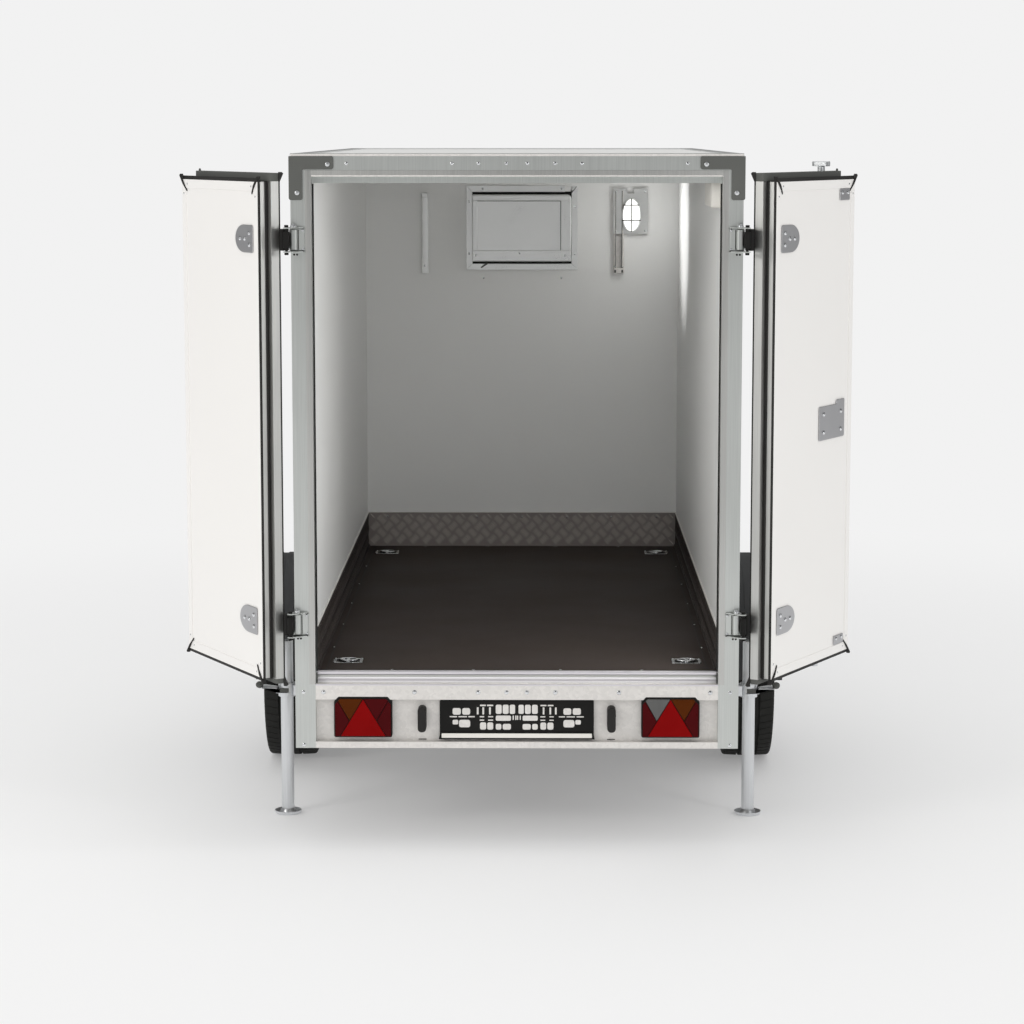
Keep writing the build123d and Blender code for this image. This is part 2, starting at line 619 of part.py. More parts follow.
def door_frame():
    """Aluminium edge frame: outer flange, neck, middle band and inner cover."""
    x0, x1, z0, z1 = PLUG
    low, high = DOOR_BOTTOM + CAPS[0], DOOR_TOP - CAPS[1]
    seat = EDGE_STRIP
    lv = door_levels()
    core = box(DOOR_GAP, DOOR_EDGE, lv[1], lv[2], low, high)
    core += box(DOOR_GAP + seat, DOOR_EDGE - seat, lv[0], lv[1], DOOR_BOTTOM + seat, DOOR_TOP - seat)
    core += box(x0 + seat, x1 - seat, lv[2], lv[5], z0 + seat, z1 - seat)
    core += box(x0, x1, lv[3], lv[4], z0, z1)
    window = box(x0 + RIM_BAND, x1 - RIM_BAND, lv[0] - 1, lv[5] + 1, z0 + RIM_BAND, z1 - RIM_BAND)
    return core - window


def door_seal():
    """Rubber: outer edge strip, dark caps over and under the flange, and two lips."""
    x0, x1, z0, z1 = PLUG
    seat = EDGE_STRIP
    lv = door_levels()
    strip = ring_xz(DOOR_GAP, DOOR_EDGE, DOOR_BOTTOM, DOOR_TOP, seat, lv[0], lv[1])
    strip += box(DOOR_GAP, DOOR_EDGE, lv[1], lv[2], DOOR_TOP - CAPS[1], DOOR_TOP)
    strip += box(DOOR_GAP, DOOR_EDGE, lv[1], lv[2], DOOR_BOTTOM, DOOR_BOTTOM + CAPS[0])
    lips = strip.solids()
    for k, low, high in ((2, z0 - LIP, z1 + LIP), (4, *LIP_Z)):
        lip = box(x0 - LIP, x1 + LIP, lv[k], lv[k + 1], low, high)
        lip -= box(x0 + seat, x1 - seat, lv[k] - 1, lv[k + 1] + 1, z0 + seat, z1 - seat)
        lips += lip.solids()
    return lips


BACKING = 4.0            # plates on the inner face
BOLT_STAND = 9.0         # the bolts' height over the inner face


def bolt_inside(x, z, radius):
    """A bolt head standing off a plate on the door's inner face."""
    inner_y = door_levels()[5]
    return rod((x, inner_y + BACKING, z), (x, inner_y + BOLT_STAND, z), radius)


def door_hinges():
    """Straps with knuckles outside, and D-shaped backing plates inside."""
    strap_in, strap_thick = 560.0, 5.0
    straight, flat_in, bulge_wide, half_high = 662.0, 582.0, 68.0, 47.0
    bolts = ((636.0, 20.0), (636.0, -20.0), (596.0, 0.0), (556.0, 0.0))
    inner_y = door_levels()[5]
    outer_y = inner_y + BACKING
    pieces = []
    for z in HINGE_HEIGHTS:
        strap = box(strap_in, HINGE_X, DOOR_OUTER_Y - strap_thick, DOOR_OUTER_Y, z - STRAP_HALF,
                    z + STRAP_HALF)
        strap += upright(HINGE_X, HINGE_Y, z - STRAP_HALF, z + STRAP_HALF, KNUCKLE_RADIUS)
        strap -= upright(HINGE_X, HINGE_Y, z - STRAP_HALF - 3, z + STRAP_HALF + 3,
                         HINGE_PIN + RUNNING)
        pieces += strap.solids()
        plate = box(flat_in, straight, inner_y, outer_y, z - half_high, z + half_high)
        oval = extrude(Ellipse(bulge_wide, half_high), BACKING / 2, both=True)
        bulge = Pos(flat_in, inner_y + BACKING / 2, z) * Rot(90, 0, 0) * oval
        plate += bulge & box(flat_in - 80, flat_in + 1, inner_y, outer_y, z - half_high, z + half_high)
        for x, rise in bolts:
            plate += bolt_inside(x, z + rise, 8)
        pieces += plate.solids()
    return pieces


def door_lock():
    """Locking bar with cams, bearings and swing handle, and its backing plates inside."""
    x, y, skin = 98.0, DOOR_OUTER_Y - 20, DOOR_OUTER_Y
    inner_y = door_levels()[5]
    outer_y = inner_y + BACKING
    bar_z = (548.0, 2323.0)
    bearings = (626.0, 1250.0, 1600.0, 2217.0)
    handle_z = 1428.0
    bar = upright(x, y, *bar_z, 10)
    for z in bar_z:
        bar += box(x - 10, x + 10, y - 31, y + 31, z - 10, z + 10)
    for z in bearings:
        bar += box(x - 40, x + 40, skin - 34, skin, z - 20, z + 20)
    bar += box(x - 12, x + 262, y - 26, y - 16, handle_z - 14, handle_z + 14)
    bar += box(x - 16, x + 16, y - 26, y + 8, handle_z - 28, handle_z + 28)
    bar += box(x + 206, x + 246, skin - 30, skin, handle_z - 32, handle_z - 16)
    pieces = bar.solids()
    x0, x1, inset, bolt = 56.0, 141.0, 16.0, 7.0
    for z0, z1 in ((2196.0, 2238.0), (610.0, 643.0)):
        plate = box(x0, x1, inner_y, outer_y, z0, z1)
        for bolt_x in (x0 + inset, x1 - inset):
            plate += bolt_inside(bolt_x, (z0 + z1) / 2, bolt)
        pieces += plate.solids()
    near, far, low, high, step = 76.0, 300.0, 1360.0, 1480.0, 15.0
    stepped = box(near, far, inner_y, outer_y, low, high)
    stepped += box(near, near + 74, inner_y, outer_y, high, high + step)
    for bolt_x in (near + 34, far - 70):
        for bolt_z in (low + 30, high - 30):
            stepped += bolt_inside(bolt_x, bolt_z, 8)
    return pieces + stepped.solids()


def hinge_brackets():
    """Fixed halves on the posts: leaf, two lugs and the pin."""
    leaf_in, leaf_out, sheet, lug_in = 716.0, 764.0, 5.0, 745.0
    lug_rise, lug_half = 36.0, 4.0
    pieces = []
    for z in HINGE_HEIGHTS:
        leaf = box(leaf_in, leaf_out, -sheet, 0, z - LEAF_HALF, z + LEAF_HALF)
        for rise in (-lug_rise, lug_rise):
            low, high = z + rise - lug_half, z + rise + lug_half
            leaf += box(lug_in, HINGE_X, HINGE_Y - 6, -4, low, high)
            leaf += upright(HINGE_X, HINGE_Y, low, high, KNUCKLE_RADIUS)
        leaf += upright(HINGE_X, HINGE_Y, z - LEAF_HALF - 4, z + LEAF_HALF + 4, HINGE_PIN)
        pieces += both(leaf)
    return pieces


# ---- stands ---------------------------------------------------------------------------
def leg():
    """Right-hand prop stand: tube with a round foot."""
    foot_thick, collar_top = 8.0, 20.0
    tube = upright(LEG_X, LEG_Y, foot_thick - 2, LEG_TOP, LEG_RADIUS)
    foot = upright(LEG_X, LEG_Y, 0, foot_thick, LEG_FOOT)
    collar = upright(LEG_X, LEG_Y, foot_thick, collar_top, 30)
    return tube + foot + collar


def leg_clamps():
    """Clamp on the chassis rail, with its screw lever ending in a ball."""
    x, y, z = LEG_X, LEG_Y, CLAMP_Z
    lever_z, ball = z + 16, 14.0
    clamp = upright(x, y, z - 25, z + 25, LEG_RADIUS + 8)
    clamp += box(RAIL_OUTER + 3, x - 10, y - 30, y + 30, z - 20, z + 20)
    clamp += box(RAIL_OUTER, RAIL_OUTER + 6, y - 60, y + 60, z - 30, z + 40)
    clamp += box(x + 20, x + 44, y - 12, y + 12, z - 12, lever_z)
    clamp += rod((x + 40, y, z + 8), (x + 90, y, lever_z), 5)
    clamp += Pos(x + 96, y, lever_z + 1) * Sphere(ball)
    clamp -= upright(x, y, z - 40, z + 40, LEG_RADIUS + SLIDE_GAP)
    return both(clamp)


def jack_tube():
    """Inner tube of the jack, with the bush that the castor turns in."""
    tube = upright(JACK_X, JACK_Y, JACK_BOTTOM, JACK_TOP, JACK_RADIUS)
    return tube - upright(JACK_X, JACK_Y, JACK_BOTTOM - 12, JACK_BOTTOM + 50, SPIGOT + RUNNING)


def jockey_fork():
    """Castor fork: spigot, crown, two cheeks and the wheel's axle."""
    x, y, wheel_y = JACK_X, JACK_Y, JACK_Y - JOCKEY_TRAIL
    crown, sheet, cheek_x, half_long = JACK_BOTTOM - 6, 12.0, 38.0, 24.0
    fork = upright(x, y, crown, JACK_BOTTOM + 46, SPIGOT)
    fork += box(x - cheek_x - 4, x + cheek_x + 4, wheel_y - 26, y + 26, crown - sheet, crown)
    for side in (-1, 1):
        cx = x + side * cheek_x
        fork += box(cx - 4, cx + 4, wheel_y - half_long, wheel_y + half_long, JOCKEY_RADIUS - 18,
                    crown - sheet + 2)
    fork += bar_x(x - cheek_x - 6, x + cheek_x + 6, wheel_y, JOCKEY_RADIUS, JOCKEY_AXLE)
    return fork


def jockey_wheel():
    """Solid rubber jockey wheel with its hub, turning on the fork's axle."""
    r = JOCKEY_RADIUS
    bore = (JOCKEY_AXLE + RUNNING) / cos(pi / JOCKEY_SIDES)
    outline = [(-30, bore), (-30, 26), (-14, 30), (-14, 66), (-26, 72), (-27, r - 10),
               (-18, r - 1), (0, r)]
    outline += [(-a, b) for a, b in reversed(outline[:-1])]
    return Pos(JACK_X, JACK_Y - JOCKEY_TRAIL, r) * faceted(outline, JOCKEY_SIDES)


# ---- all sub-parts --------------------------------------------------------------------
def nodes():
    """Every sub-part by name, drawn from the rear-face origin."""
    made = {
        "chassis_rails": chassis_rails(),
        "chassis_crossmembers": chassis_crossmembers(),
        "rear_crossmember": rear_crossmember(),
        "axle": axle(),
        "drawbar_right": drawbar_beam(),
        "drawbar_left": other_side(drawbar_beam()),
        "coupling": coupling(),
        "jack_sleeve": jack_sleeve(),
        "rear_frame": rear_frame(),
        "corner_brackets": corner_brackets(),
        "sill": sill(),
        "side_wall_right": side_wall(),
        "side_wall_left": other_side(side_wall()),
        "front_wall": front_wall(),
        "roof": roof(),
        "floor": floor(),
        "tie_downs": tie_downs(),
        "kick_plates": kick_plates(),
        "body_profiles": body_profiles(),
        "tail_lamps": tail_lamps(),
        "plate_holder": plate_holder(),
        "rubber_buffers": rubber_buffers(),
        "marker_lamps": marker_lamps(),
        "unit_frame": unit_frame(),
        "wall_channels": wall_channels(),
        "interior_lamp": interior_lamp(),
        "wall_box": wall_box(),
        "fridge_housing": fridge_housing(),
        "fridge_grille": fridge_grille(),
        "mudguard_right": mudguard(),
        "mudguard_left": other_side(mudguard()),
        "leg_clamps": leg_clamps(),
        "hinge_brackets": hinge_brackets(),
        "leg_right": leg(),
        "leg_left": other_side(leg()),
        "jack_tube": jack_tube(),
        "jockey_fork": jockey_fork(),
        "jockey_wheel": jockey_wheel(),
    }
    for name, side in (("right", 1), ("left", -1)):
        made["tyre_" + name] = tyre(side)
        made["rim_" + name] = rim(side)
        made["hub_" + name] = hub(side)
    door = {"panel": door_panel, "frame": door_frame, "seal": door_seal, "hinges": door_hinges}
    for name, make in door.items():
        shape = make()
        solids = shape if isinstance(shape, list) else shape.solids()
        made["door_right_" + name] = [swing(s) for s in solids]
        made["door_left_" + name] = [other_side(swing(s)) for s in solids]
    made["door_right_lock"] = [swing(s) for s in door_lock()]
    return made


def save(name, shape):
    solids = shape if isinstance(shape, (list, ShapeList)) else shape.solids()
    moved = [place(s) for s in solids]
    whole = moved[0] if len(moved) == 1 else Compound(moved)
    export_step(whole, os.path.join("parts", name + ".step"))


if __name__ == "__main__":
    os.makedirs("parts", exist_ok=True)
    for node, shape in nodes().items():
        save(node, shape)
    print(len(nodes()), "sub-parts, origin", round(Y_MID, 1), "mm ahead of the rear face")
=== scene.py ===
# %% [markdown]
# # A small refrigerated trailer
#
# The trailer is a white sandwich box on one sprung axle. Its two rear doors stand wide open, so
# the view from behind shows the door seals, the hinges and the whole load space. The engineering
# model already gives every part its size and its joints. These cells add what the eye needs:
# surfaces with the right finish, and the small forms that make metal, rubber and plastic
# believable. Most pieces take their place from the model's own boxes, and the rest from plain
# measures in the same millimetres.

# %% Load the frame
import json
from math import cos, degrees, pi, radians, sin, sqrt, tan

import bpy
import numpy as np
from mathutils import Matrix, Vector


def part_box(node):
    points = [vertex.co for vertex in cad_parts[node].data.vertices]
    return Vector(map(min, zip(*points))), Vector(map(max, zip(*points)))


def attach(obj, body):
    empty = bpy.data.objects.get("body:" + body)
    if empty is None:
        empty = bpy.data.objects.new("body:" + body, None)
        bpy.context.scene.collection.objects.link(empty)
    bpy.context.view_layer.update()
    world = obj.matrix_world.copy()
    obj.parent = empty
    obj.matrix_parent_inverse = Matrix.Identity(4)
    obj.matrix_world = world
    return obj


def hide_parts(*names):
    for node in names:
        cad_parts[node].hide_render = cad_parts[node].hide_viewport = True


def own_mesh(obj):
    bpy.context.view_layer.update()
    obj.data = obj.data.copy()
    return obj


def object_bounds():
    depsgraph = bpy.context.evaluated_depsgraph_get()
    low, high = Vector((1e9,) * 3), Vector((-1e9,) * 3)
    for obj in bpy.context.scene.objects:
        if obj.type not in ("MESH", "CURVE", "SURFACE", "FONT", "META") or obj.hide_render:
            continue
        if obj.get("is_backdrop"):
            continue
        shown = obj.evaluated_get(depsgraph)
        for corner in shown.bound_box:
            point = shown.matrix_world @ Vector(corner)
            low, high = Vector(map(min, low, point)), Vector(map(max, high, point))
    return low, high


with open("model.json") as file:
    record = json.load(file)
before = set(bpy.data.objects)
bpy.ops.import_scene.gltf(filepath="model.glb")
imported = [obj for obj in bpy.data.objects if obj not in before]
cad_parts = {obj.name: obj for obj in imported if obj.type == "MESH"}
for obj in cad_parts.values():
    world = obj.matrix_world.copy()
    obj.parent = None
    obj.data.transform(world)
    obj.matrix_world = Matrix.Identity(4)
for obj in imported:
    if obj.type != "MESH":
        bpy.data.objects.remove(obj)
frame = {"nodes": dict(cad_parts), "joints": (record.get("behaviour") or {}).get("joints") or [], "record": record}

CAD_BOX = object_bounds()
MM = 0.001
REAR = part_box("rear_frame")[0][1]


def placed(points):
    """Points drawn in millimetres from the middle of the rear face, as metres in the frame."""
    return np.asarray(points, float) * MM + (0.0, REAR, 0.0)


def drawn(node):
    """A model node's two corners, in the same millimetres."""
    return [(np.array(corner) - (0.0, REAR, 0.0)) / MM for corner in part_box(node)]


# %% [markdown]
# ## Camera
#
# A long lens stands far behind the trailer, a little above the roof line, and looks slightly
# down. A long lens keeps the side walls from splaying, which is how such vehicles are shown
# in a catalogue. Its distance is what makes the load space look three metres deep.

# %% Camera
LENS = 99.67
STAND = (72.0, -9533.0, 2433.0)
LOOKS_DOWN, LOOKS_ASIDE = 7.63, 0.53

eye = bpy.data.cameras.new("eye")
eye.lens = LENS
eye.clip_end = 200.0
camera = bpy.data.objects.new("eye", eye)
camera.location = placed(STAND)
camera.rotation_euler = (radians(90 - LOOKS_DOWN), 0.0, radians(LOOKS_ASIDE))
bpy.context.scene.collection.objects.link(camera)
bpy.context.scene.camera = camera
bpy.context.scene.view_settings.view_transform = "Standard"
print("camera", [round(v, 3) for v in camera.location])

# %% [markdown]
# ## Light and background
#
# White laminate and bare metal need a large, even light, or they go blotchy. The world gives
# most of it. Light Path lets the camera see a pale backdrop, while the world's own light stays
# at the level at which a colour renders about as it is written. Bare metal mirrors a duller
# horizon, as it does in a studio whose lamps leave the room behind the camera dim. Big soft
# panels add direction, so that the box casts a shadow and its edges separate. A narrow strip
# just inside the right post does what a photographer's reflector does, and lifts the left wall.

# %% A node at a time
def node(tree, kind, inputs=None, **settings):
    """Adds one shader node; inputs gives a socket a value or another node's output."""
    made = tree.nodes.new("ShaderNode" + kind)
    for key, value in settings.items():
        setattr(made, key, value)
    for key, value in (inputs or {}).items():
        if isinstance(value, bpy.types.NodeSocket):
            tree.links.new(value, made.inputs[key])
        else:
            made.inputs[key].default_value = value
    return made


# %% World
BACKDROP = 0.887
AMBIENT = 0.80
MIRRORED = 0.35
OVERHEAD_SHADE = 0.16

world = bpy.data.worlds.new("studio")
bpy.context.scene.world = world
world.use_nodes = True
sky = world.node_tree
sky.nodes.clear()
path = node(sky, "LightPath")
where = node(sky, "TexCoord")
height = node(sky, "SeparateXYZ", {0: where.outputs["Generated"]})
overhead = node(sky, "MapRange", {"Value": height.outputs["Z"], "From Min": -0.02, "From Max": 0.34,
                                  "To Min": MIRRORED, "To Max": OVERHEAD_SHADE})
seen = node(sky, "Math", {0: path.outputs["Is Camera Ray"], 1: path.outputs["Is Transmission Ray"]},
            operation="MAXIMUM")
soft = node(sky, "Mix", {0: path.outputs["Is Glossy Ray"], 2: AMBIENT,
                         3: overhead.outputs["Result"]}, data_type="FLOAT")
level = node(sky, "Mix", {0: seen.outputs[0], 2: soft.outputs[0], 3: BACKDROP},
             data_type="FLOAT")
glow = node(sky, "Background", {"Color": (1.0, 1.0, 1.0, 1.0), "Strength": level.outputs[0]})
node(sky, "OutputWorld", {"Surface": glow.outputs[0]})

# %% Soft panels
def panel_light(name, place, aim, width, depth, power, tint=(1.0, 1.0, 1.0), mirrored=True):
    """A rectangular lamp at a place, turned to face the point aimed at."""
    lamp = bpy.data.lights.new(name, "AREA")
    lamp.shape = "RECTANGLE"
    lamp.size, lamp.size_y, lamp.energy, lamp.color = width, depth, power, tint
    holder = bpy.data.objects.new(name, lamp)
    holder.location = place
    holder.rotation_euler = (Vector(aim) - Vector(place)).to_track_quat("-Z", "Y").to_euler()
    holder.visible_camera = False
    holder.visible_glossy = mirrored
    bpy.context.scene.collection.objects.link(holder)


panel_light("key_panel", (-6.5, -8.0, 4.6), (0.0, -1.8, 1.2), 3.0, 2.4, 170.0, (1.0, 0.985, 0.96))
panel_light("fill_panel", (5.6, -7.2, 3.4), (-0.4, -1.8, 1.3), 1.1, 2.2, 60.0)
panel_light("hold_panel", (0.4, -9.0, 2.2), (0.0, 0.0, 1.5), 1.4, 1.2, 30.0, mirrored=False)
panel_light("wall_panel", (0.58, -2.08, 1.4), (-0.69, -1.85, 1.3), 0.1, 1.3, 5.0, mirrored=False)
panel_light("top_panel", (0.0, 0.6, 8.0), (0.0, 0.0, 0.0), 7.0, 9.0, 120.0)
print("lamps", len(bpy.data.lights))

# %% [markdown]
# ## Studio floor
#
# A single pale sheet reaches to the horizon. Near the trailer it is mostly rough paper, which
# keeps the shadow. A few metres out it turns into the backdrop's own tone for the camera. For
# glossy rays it dims with distance from white to the mirrored horizon's tone, so bare metal is
# brightest at its foot, and nowhere do floor and backdrop meet in a line.

# %% Floor
REACH = 60.0
sheet = bpy.data.meshes.new("studio_floor")
corners = [(-REACH, -REACH, 0.0), (REACH, -REACH, 0.0), (REACH, REACH, 0.0), (-REACH, REACH, 0.0)]
sheet.from_pydata(corners, [], [(0, 1, 2, 3)])
ground = bpy.data.objects.new("studio_floor", sheet)
bpy.context.scene.collection.objects.link(ground)
ground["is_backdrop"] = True
PAPER = (0.86, 0.86, 0.86, 1.0)
NEAR, FAR = 2.2, 6.0
NEAR_SHARE = 0.26
DIMS_FROM, DIMS_TO = 5.0, 22.0

paper = bpy.data.materials.new("studio_paper")
paper.use_nodes = True
roll = paper.node_tree
roll.nodes.clear()
spot = node(roll, "TexCoord")
reach = node(roll, "VectorMath", {0: spot.outputs["Object"]}, operation="LENGTH")
far = node(roll, "MapRange", {"Value": reach.outputs["Value"], "From Min": NEAR, "From Max": FAR,
                            "To Min": NEAR_SHARE}, interpolation_type="SMOOTHSTEP")
kind = node(roll, "LightPath")
looks = node(roll, "Math", {0: kind.outputs["Is Camera Ray"], 1: kind.outputs["Is Glossy Ray"]},
             operation="MAXIMUM")
seen = node(roll, "Math", {0: looks.outputs[0], 1: kind.outputs["Is Transmission Ray"]},
            operation="MAXIMUM")
share = node(roll, "Math", {0: seen.outputs[0], 1: far.outputs["Result"]}, operation="MULTIPLY")
rough = node(roll, "BsdfDiffuse", {"Color": PAPER})
dim = node(roll, "MapRange", {"Value": reach.outputs["Value"], "From Min": DIMS_FROM,
                              "From Max": DIMS_TO, "To Min": 1.0, "To Max": MIRRORED})
tone = node(roll, "Mix", {0: kind.outputs["Is Glossy Ray"], 2: BACKDROP, 3: dim.outputs["Result"]},
            data_type="FLOAT")
lit = node(roll, "Emission", {"Color": (1.0, 1.0, 1.0, 1.0), "Strength": tone.outputs[0]})
blend = node(roll, "MixShader", {0: share.outputs[0], 1: rough.outputs[0], 2: lit.outputs[0]})
node(roll, "OutputMaterial", {"Surface": blend.outputs[0]})
sheet.materials.append(paper)
print("floor reaches", REACH, "m")

# %% [markdown]
# ## Effects shared by the finishes
#
# Bare metal, laminate and rubber differ in colour, but the way they age is alike: edges are
# never knife-sharp, hands leave smudges, and rolling or moulding leaves a grain. Each effect
# is a node group that puts out only masks, heights or normals. A finish then decides what
# the mask does, so one group serves many materials with its own numbers in each.

# %% A group's shell
def shared(name, inputs, outputs):
    """An empty shader group with named sockets; returns its tree, its input and output nodes."""
    tree = bpy.data.node_groups.new(name, "ShaderNodeTree")
    for label, kind, value in inputs:
        socket = tree.interface.new_socket(label, in_out="INPUT", socket_type="NodeSocket" + kind)
        socket.default_value = value
    for label, kind in outputs:
        tree.interface.new_socket(label, in_out="OUTPUT", socket_type="NodeSocket" + kind)
    return tree, tree.nodes.new("NodeGroupInput"), tree.nodes.new("NodeGroupOutput")


def put_out(tree, end, **values):
    """Joins sockets to a group's outputs, by name."""
    for label, socket in values.items():
        tree.links.new(socket, end.inputs[label])


# %% Rounded and rubbed edges
# The Bevel node turns the normal gently over an edge. Where that normal leaves the true one,
# the point lies on an edge, and one minus their dot product is a mask of it.
edges, start, end = shared("rubbed_edges", [("Radius", "Float", 0.001)],
                           [("Normal", "Vector"), ("Mask", "Float")])
turn = node(edges, "Bevel", {"Radius": start.outputs["Radius"]}, samples=4)
true = node(edges, "NewGeometry")
match = node(edges, "VectorMath", {0: turn.outputs[0], 1: true.outputs["Normal"]},
             operation="DOT_PRODUCT")
rub = node(edges, "MapRange", {"Value": match.outputs["Value"], "From Min": 0.995, "From Max": 0.80})
put_out(edges, end, Normal=turn.outputs[0], Mask=rub.outputs["Result"])

# %% Grain drawn out along one direction
# Noise looked up at stretched coordinates makes lines. Each axis has its own frequency per
# metre, so a low number along Z gives the long vertical lines of an extrusion.
lines, start, end = shared("drawn_grain", [("Frequency", "Vector", (300.0, 300.0, 6.0))],
                           [("Tone", "Float"), ("Height", "Float")])
spot = node(lines, "TexCoord")
stretch = node(lines, "VectorMath", {0: spot.outputs["Object"], 1: start.outputs["Frequency"]},
               operation="MULTIPLY")
streak = node(lines, "TexNoise", {"Vector": stretch.outputs[0], "Scale": 1.0, "Detail": 3.0})
cloud = node(lines, "TexNoise", {"Vector": spot.outputs["Object"], "Scale": 2.3, "Detail": 2.0})
both = node(lines, "Mix", {0: 0.45, 2: streak.outputs[0], 3: cloud.outputs[0]}, data_type="FLOAT")
spread = node(lines, "MapRange", {"Value": both.outputs[0], "From Min": 0.3, "From Max": 0.7})
put_out(lines, end, Tone=spread.outputs["Result"], Height=streak.outputs[0])

# %% Zinc crystals
# Hot-dip zinc freezes into flat crystals. Voronoi cells give each crystal one random tone,
# and noise bends the cell borders so that they don't look cut with a knife.
zinc, start, end = shared("zinc_crystals", [("Size", "Float", 60.0)],
                          [("Tone", "Float"), ("Height", "Float")])
spot = node(zinc, "TexCoord")
bend = node(zinc, "TexNoise", {"Vector": spot.outputs["Object"], "Scale": 40.0, "Detail": 2.0})
warped = node(zinc, "Mix", {0: 0.02, 4: spot.outputs["Object"], 5: bend.outputs["Color"]},
              data_type="VECTOR")
cells = node(zinc, "TexVoronoi", {"Vector": warped.outputs[1], "Scale": start.outputs["Size"]})
pick = node(zinc, "SeparateColor", {0: cells.outputs["Color"]})
cloud = node(zinc, "TexNoise", {"Vector": spot.outputs["Object"], "Scale": 3.1, "Detail": 3.0})
both = node(zinc, "Mix", {0: 0.5, 2: pick.outputs[0], 3: cloud.outputs[0]}, data_type="FLOAT")
put_out(zinc, end, Tone=both.outputs[0], Height=cells.outputs["Distance"])

# %% Fine grain
# Moulded plastic and rubber copy the spark-eroded wall of their mould: a tight, even noise.
# A second, slow noise gives the broad patches where the surface was touched or wiped.
fine, start, end = shared("fine_grain", [("Frequency", "Float", 900.0), ("Patches", "Float", 3.0)],
                          [("Tone", "Float"), ("Height", "Float")])
spot = node(fine, "TexCoord")
speck = node(fine, "TexNoise", {"Vector": spot.outputs["Object"], "Scale": start.outputs["Frequency"],
                                "Detail": 2.0})
cloud = node(fine, "TexNoise", {"Vector": spot.outputs["Object"], "Scale": start.outputs["Patches"],
                                "Detail": 4.0})
both = node(fine, "Mix", {0: 0.65, 2: speck.outputs[0], 3: cloud.outputs[0]}, data_type="FLOAT")
spread = node(fine, "MapRange", {"Value": both.outputs[0], "From Min": 0.3, "From Max": 0.7})
put_out(fine, end, Tone=spread.outputs["Result"], Height=speck.outputs[0])
print("groups", [g.name for g in bpy.data.node_groups])

# %% [markdown]
# ## Finishes
#
# Each finish of the record gets one material with its name. A tone from a shared group runs
# between a dark and a light colour and between two roughnesses, a height makes the bump, and
# rubbed edges take a lighter colour. What is the same all over, such as how metallic the
# surface is, is set on the shader itself. A few more are for pieces of this script alone.

# %% Recipe of a finish
FINISH = {}


def colour(*rgb):
    """A display colour of 0 to 255 as the linear light that a shader takes."""
    share = np.array(rgb, float) / 255
    linear = np.where(share <= 0.04045, share / 12.92, ((share + 0.055) / 1.055) ** 2.4)
    return (*linear.tolist(), 1.0)


def principled(slot):
    """A new material filed under its slot; returns its node tree and its Principled shader."""
    made = bpy.data.materials.new(slot)
    made.use_nodes = True
    FINISH[slot] = made
    return made.node_tree, made.node_tree.nodes["Principled BSDF"]


def finish(slot, group, dark, light, rough, bump, edge=None, radius=0.0008, group_in=None, **fixed):
    """Builds the material of one slot from a grain group, two colours and two roughnesses."""
    tree, shader = principled(slot)
    grain = node(tree, "Group", node_tree=bpy.data.node_groups[group])
    for label, value in (group_in or {}).items():
        grain.inputs[label].default_value = value
    rim = node(tree, "Group", node_tree=bpy.data.node_groups["rubbed_edges"])
    rim.inputs["Radius"].default_value = radius
    body = node(tree, "Mix", {0: grain.outputs["Tone"], 6: dark, 7: light}, data_type="RGBA")
    skin = node(tree, "Mix", {0: rim.outputs["Mask"], 6: body.outputs[2], 7: edge or light},
                data_type="RGBA")
    gloss = node(tree, "MapRange", {"Value": grain.outputs["Tone"], "To Min": rough[0],
                                    "To Max": rough[1]})
    relief = node(tree, "Bump", {"Height": grain.outputs["Height"], "Normal": rim.outputs["Normal"],
                                 "Strength": bump[0], "Distance": bump[1]})
    tree.links.new(skin.outputs[2], shader.inputs["Base Color"])
    tree.links.new(gloss.outputs["Result"], shader.inputs["Roughness"])
    tree.links.new(relief.outputs["Normal"], shader.inputs["Normal"])
    for label, value in fixed.items():
        shader.inputs[label.replace("_", " ")].default_value = value


# %% Bare metals
# Extrusions and drawn tubes have lines along their length, other parts an even grain, and
# hot-dip zinc shows its crystals. At full Metallic the colour is only the tint of the
# reflection. Lower values let some plain colour through, which keeps a piece bright where it
# has little to mirror: most of all the galvanised parts and the sill's near-white strips, which
# are painted highlights.
ALONG_Z, ALONG_X, ALONG_Y = (420.0, 420.0, 5.0), (5.0, 420.0, 420.0), (420.0, 5.0, 420.0)

finish("frame_aluminium", "drawn_grain", colour(204, 207, 204), colour(222, 225, 222), (0.38, 0.48),
       (0.03, 0.0004), group_in={"Frequency": ALONG_Z}, Metallic=1.0)
finish("profile_aluminium", "drawn_grain", colour(214, 215, 214), colour(234, 235, 234),
       (0.28, 0.38), (0.03, 0.0004), group_in={"Frequency": ALONG_Y}, Metallic=1.0)
finish("sill_aluminium", "drawn_grain", colour(214, 211, 216), colour(234, 231, 236), (0.28, 0.38),
       (0.03, 0.0004), group_in={"Frequency": ALONG_X}, Metallic=0.75)
finish("inner_aluminium", "fine_grain", colour(230, 231, 230), colour(238, 239, 238), (0.26, 0.32),
       (0.01, 0.0002), edge=colour(246, 246, 246), Metallic=0.85)
finish("sill_painted_highlight", "drawn_grain", colour(242, 241, 243), colour(250, 249, 251), (0.30, 0.38),
       (0.02, 0.0004), group_in={"Frequency": ALONG_X}, Metallic=0.3)
finish("door_aluminium", "drawn_grain", colour(196, 196, 193), colour(216, 216, 213), (0.34, 0.44),
       (0.03, 0.0004), group_in={"Frequency": ALONG_Z}, Metallic=1.0)
finish("hinge_metal", "fine_grain", colour(182, 182, 184), colour(206, 206, 208), (0.40, 0.52),
       (0.05, 0.0004), edge=colour(228, 228, 228), Metallic=1.0)
finish("zinc_steel", "drawn_grain", colour(206, 208, 210), colour(232, 234, 236), (0.30, 0.42),
       (0.02, 0.0004), group_in={"Frequency": ALONG_Z}, Metallic=0.9)
